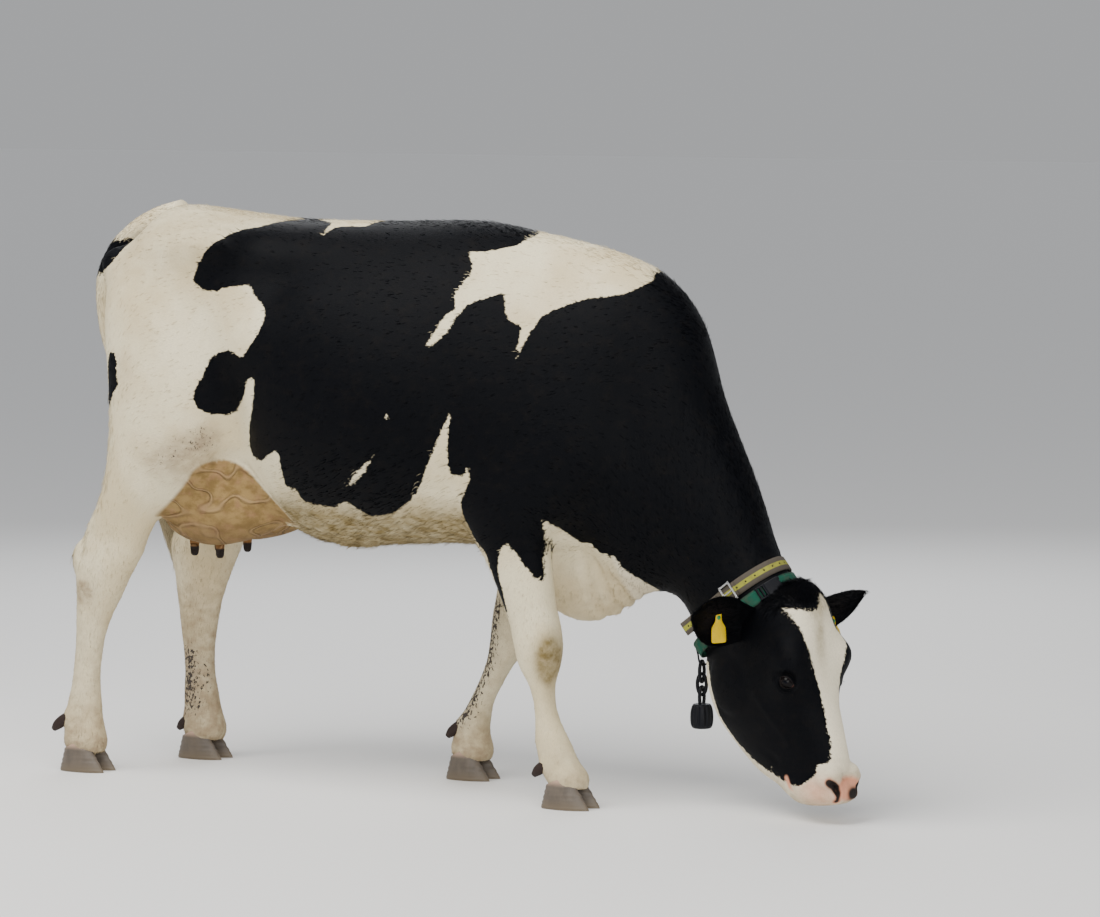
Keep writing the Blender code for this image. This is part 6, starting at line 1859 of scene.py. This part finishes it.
for name, density in densities.items():
    look = coatLooks[name]
    count = countOf(look)
    roots, normals, values = rootsOn(density, count)
    lies = lieOf(roots, normals)
    lies += 0.1 * rng.normal(size=lies.shape)
    lengths = lengthsOf(look, count)
    lengths *= lengthScale[name](roots) if name in lengthScale else 1
    if name == "coatPoll":
        pale = values["dark"] < 0.004
        lengths *= np.where(pale, 0.42, 1.0)
        values["warm"] = np.where(pale, 0.75 * rng.random(count), values["warm"])
    tuftPiece(name, roots, normals, lies, lengths, look, values, 0.1 if name in ("coatUnder", "coatPoll") else 0.0)


# Hair of an island such as an ear or the tail: the lie follows the island's own rows.
def islandRoots(rings, density, count):
    rows, around = rings.shape[:2]
    onward = np.gradient(rings, axis=0)
    across = np.roll(rings, -1, axis=1) - np.roll(rings, 1, axis=1)
    normals = np.cross(across, onward)
    middle = rings.mean(axis=1, keepdims=True)
    normals *= np.sign(((rings - middle) * normals).sum(axis=2).mean())
    size = np.linalg.norm(normals, axis=2)
    weight = (size * density).ravel()
    chosen = rng.choice(rows * around, count, p=weight / weight.sum())
    i, k = chosen // around, chosen % around
    share, other = rng.random((2, count))
    nextI, nextK = np.minimum(i + 1, rows - 1), (k + 1) % around
    roots = rings[i, k] + share[:, None] * (rings[nextI, k] - rings[i, k])
    roots = roots + other[:, None] * (rings[i, nextK] - rings[i, k])
    lies = onward[i, k] / np.maximum(np.linalg.norm(onward[i, k], axis=1), 1e-9)[:, None]
    return roots, normals[i, k] / np.maximum(size[i, k], 1e-12)[:, None], lies, i / (rows - 1), k / around


def spread(values, count):
    return {key: np.full(count, values.get(key, 0.0)) for key in marks}


print("stage: ears' and tail's hair")
for name, rings in earFrames.items():
    look = coatLooks["coatEars"]
    count = countOf(look) // 2
    turn = circle(rings.shape[1])[None]
    edge = 0.35 + 2.2 * np.exp(-((np.abs(np.sin(turn)) / 0.35) ** 2)) + 1.0 * (np.sin(turn) < 0)
    roots, normals, lies, along, lap = islandRoots(rings, edge + 0 * rings[:, :, 0], count)
    middle = rings.mean(axis=1)[np.minimum((along * (len(rings) - 1)).astype(int), len(rings) - 1)]
    inner = np.sin(lap * 2 * math.pi) < 0
    drawn = (middle - roots) * 6.0
    lies = lies + drawn * inner[:, None] * rng.random((count, 1)) + 0.15 * rng.normal(size=(count, 3))
    lies = unitRows(lies)
    lengths = lengthsOf(look, count, 0.4 + 0.6 * inner)
    fringe = np.abs(np.sin(lap * 2 * math.pi)) < 0.35
    lengths *= np.where(fringe, 0.85, 1.0)
    tuftPiece(
        "coatEarLeft" if name.endswith("left") else "coatEarRight", roots, normals, lies, lengths, look,
        spread({"dark": 0.03}, count)
    )

tailRings = pathRings(tailPath, 8, 28)
look = coatLooks["coatTail"]
count = countOf(look)
roots, normals, lies, along, lap = islandRoots(tailRings, np.ones(tailRings.shape[:2]), count)
lengths = lengthsOf(look, count)
values = spread({}, count)
values["dark"] = np.clip(np.minimum(roots[:, 2] - 1.29, 1.385 - roots[:, 2]) * 0.5, -0.03, 0.03)
values["dirt"] = 0.6 * rng.random(count)
tuftPiece("coatTail", roots, normals, lies, lengths, look, values)
look = coatLooks["coatSwitch"]
count = countOf(look)
reach = np.linspace(0, 1, len(tailRings))[:, None]
roots, normals, lies, along, lap = islandRoots(
    tailRings, unit((reach - 0.66) / 0.2) + 0 * tailRings[:, :, 0], count
)
lengths = lengthsOf(look, count) * np.clip((roots[:, 2] - 0.47) / 0.12, 0.35, 1.0)
lies = lies + np.array([0, 0, -0.35])
lies = unitRows(lies)
values = spread({"dark": -0.03}, count)
values["dirt"] = 0.3 + 0.6 * rng.random(count)
tuftPiece("coatSwitch", roots, normals, lies, lengths, look, values, 0.05)

print("stage: lashes")
lashRoots, lashLies, lashNormals, lashLengths = [], [], [], []
for side in (1, -1):
    centre, out, inner, up = eyeAxes(side)
    wide, tall = eyeLook["opening"]
    for share in np.linspace(-0.88, 0.8, 46):
        p = wide * share
        q = tall * (1 - share**2) ** 0.8 + 0.0016
        r = math.sqrt(max(eyeLook["radius"] ** 2 - p * p - q * q, 0)) + eyeLook["lid"] + 0.001
        lashRoots.append(centre + p * inner + q * up + r * out)
        lashLies.append(out * 1.0 + up * 0.15 + inner * 0.5 * share)
        lashNormals.append(up)
        lashLengths.append(0.011 * (1 - 0.5 * share**2))
lashLook = {"lift": 0.3, "wave": 0.05, "width": 0.0006, "cell": "head"}
lashLies = np.array(lashLies)
lashLies = unitRows(lashLies)
tuftPiece(
    "lashes", np.array(lashRoots), np.array(lashNormals), lashLies, np.array(lashLengths), lashLook,
    spread({"dark": 0.05}, len(lashRoots)), 0.25
)


print("stage: floor, lights and camera")
floorLook = {"colour": (0.78, 0.775, 0.76), "sky": (0.88, 0.9, 0.94), "strength": 0.62}
floorCorners = 60.0 * np.array([[-1, -1, 0], [1, -1, 0], [1, 1, 0], [-1, 1, 0]])
floor = objectOf("floor", meshOf("floor", floorCorners, np.array([[0, 1, 2, 3]])))
floor.data.materials.append(freshMaterial("floor", floorLook["colour"], 0.9))


def areaLight(name, place, target, size, power, colour):
    data = bpy.data.lights.new(name, "AREA")
    data.shape = "RECTANGLE"
    data.size, data.size_y = size
    data.energy = power
    data.color = colour
    made = objectOf(name, data)
    made.location = place
    made.rotation_euler = (Vector(target) - Vector(place)).to_track_quat("-Z", "Y").to_euler()


lights = {  # place, target, size, power, colour
    "overhead": ((-0.8, -2.5, 5.2), (0, 0, 0.7), (5.0, 4.0), 430, (1.0, 0.975, 0.94)),
    "front": ((4.6, -5.4, 2.4), (0.2, 0, 0.6), (4.0, 3.0), 215, (1.0, 0.985, 0.95)),
    "behind": ((-2.5, 5.0, 3.6), (0, 0, 0.8), (4.0, 3.0), 130, (0.96, 0.98, 1.0)),
}
for name, values in lights.items():
    areaLight(name, *values)
world = bpy.data.worlds.new("studio")
bpy.context.scene.world = world
world.use_nodes = True
tree = world.node_tree
background = tree.nodes["Background"].inputs
distant = [high * low for high, low in zip(floorLook["sky"], floorLook["colour"])]  # what the far floor sends back
give(background[0], layered(floorLook["sky"], (node("ShaderNodeLightPath", {}), distant)))
give(background[1], floorLook["strength"])

camera = objectOf("camera", bpy.data.cameras.new("camera"))
bpy.context.scene.camera = camera
cameraLook = {
    "turn": 29.0, "dip": 4.57, "middle": 0.21, "away": 13.636, "height": 1.935, "lens": 176.4, "sensor": 36.0
}
turn, dip = math.radians(cameraLook["turn"]), math.radians(cameraLook["dip"])
camera.location = (
    cameraLook["middle"] * math.cos(turn) + cameraLook["away"] * math.sin(turn) + shift[0],
    cameraLook["middle"] * math.sin(turn) - cameraLook["away"] * math.cos(turn) + shift[1],
    cameraLook["height"],
)
look = Vector((-math.sin(turn) * math.cos(dip), math.cos(turn) * math.cos(dip), -math.sin(dip)))
camera.rotation_euler = look.to_track_quat("-Z", "Y").to_euler()
camera.data.lens = cameraLook["lens"]
camera.data.sensor_width = cameraLook["sensor"]
bpy.context.scene.render.resolution_x = 1100
bpy.context.scene.render.resolution_y = 917
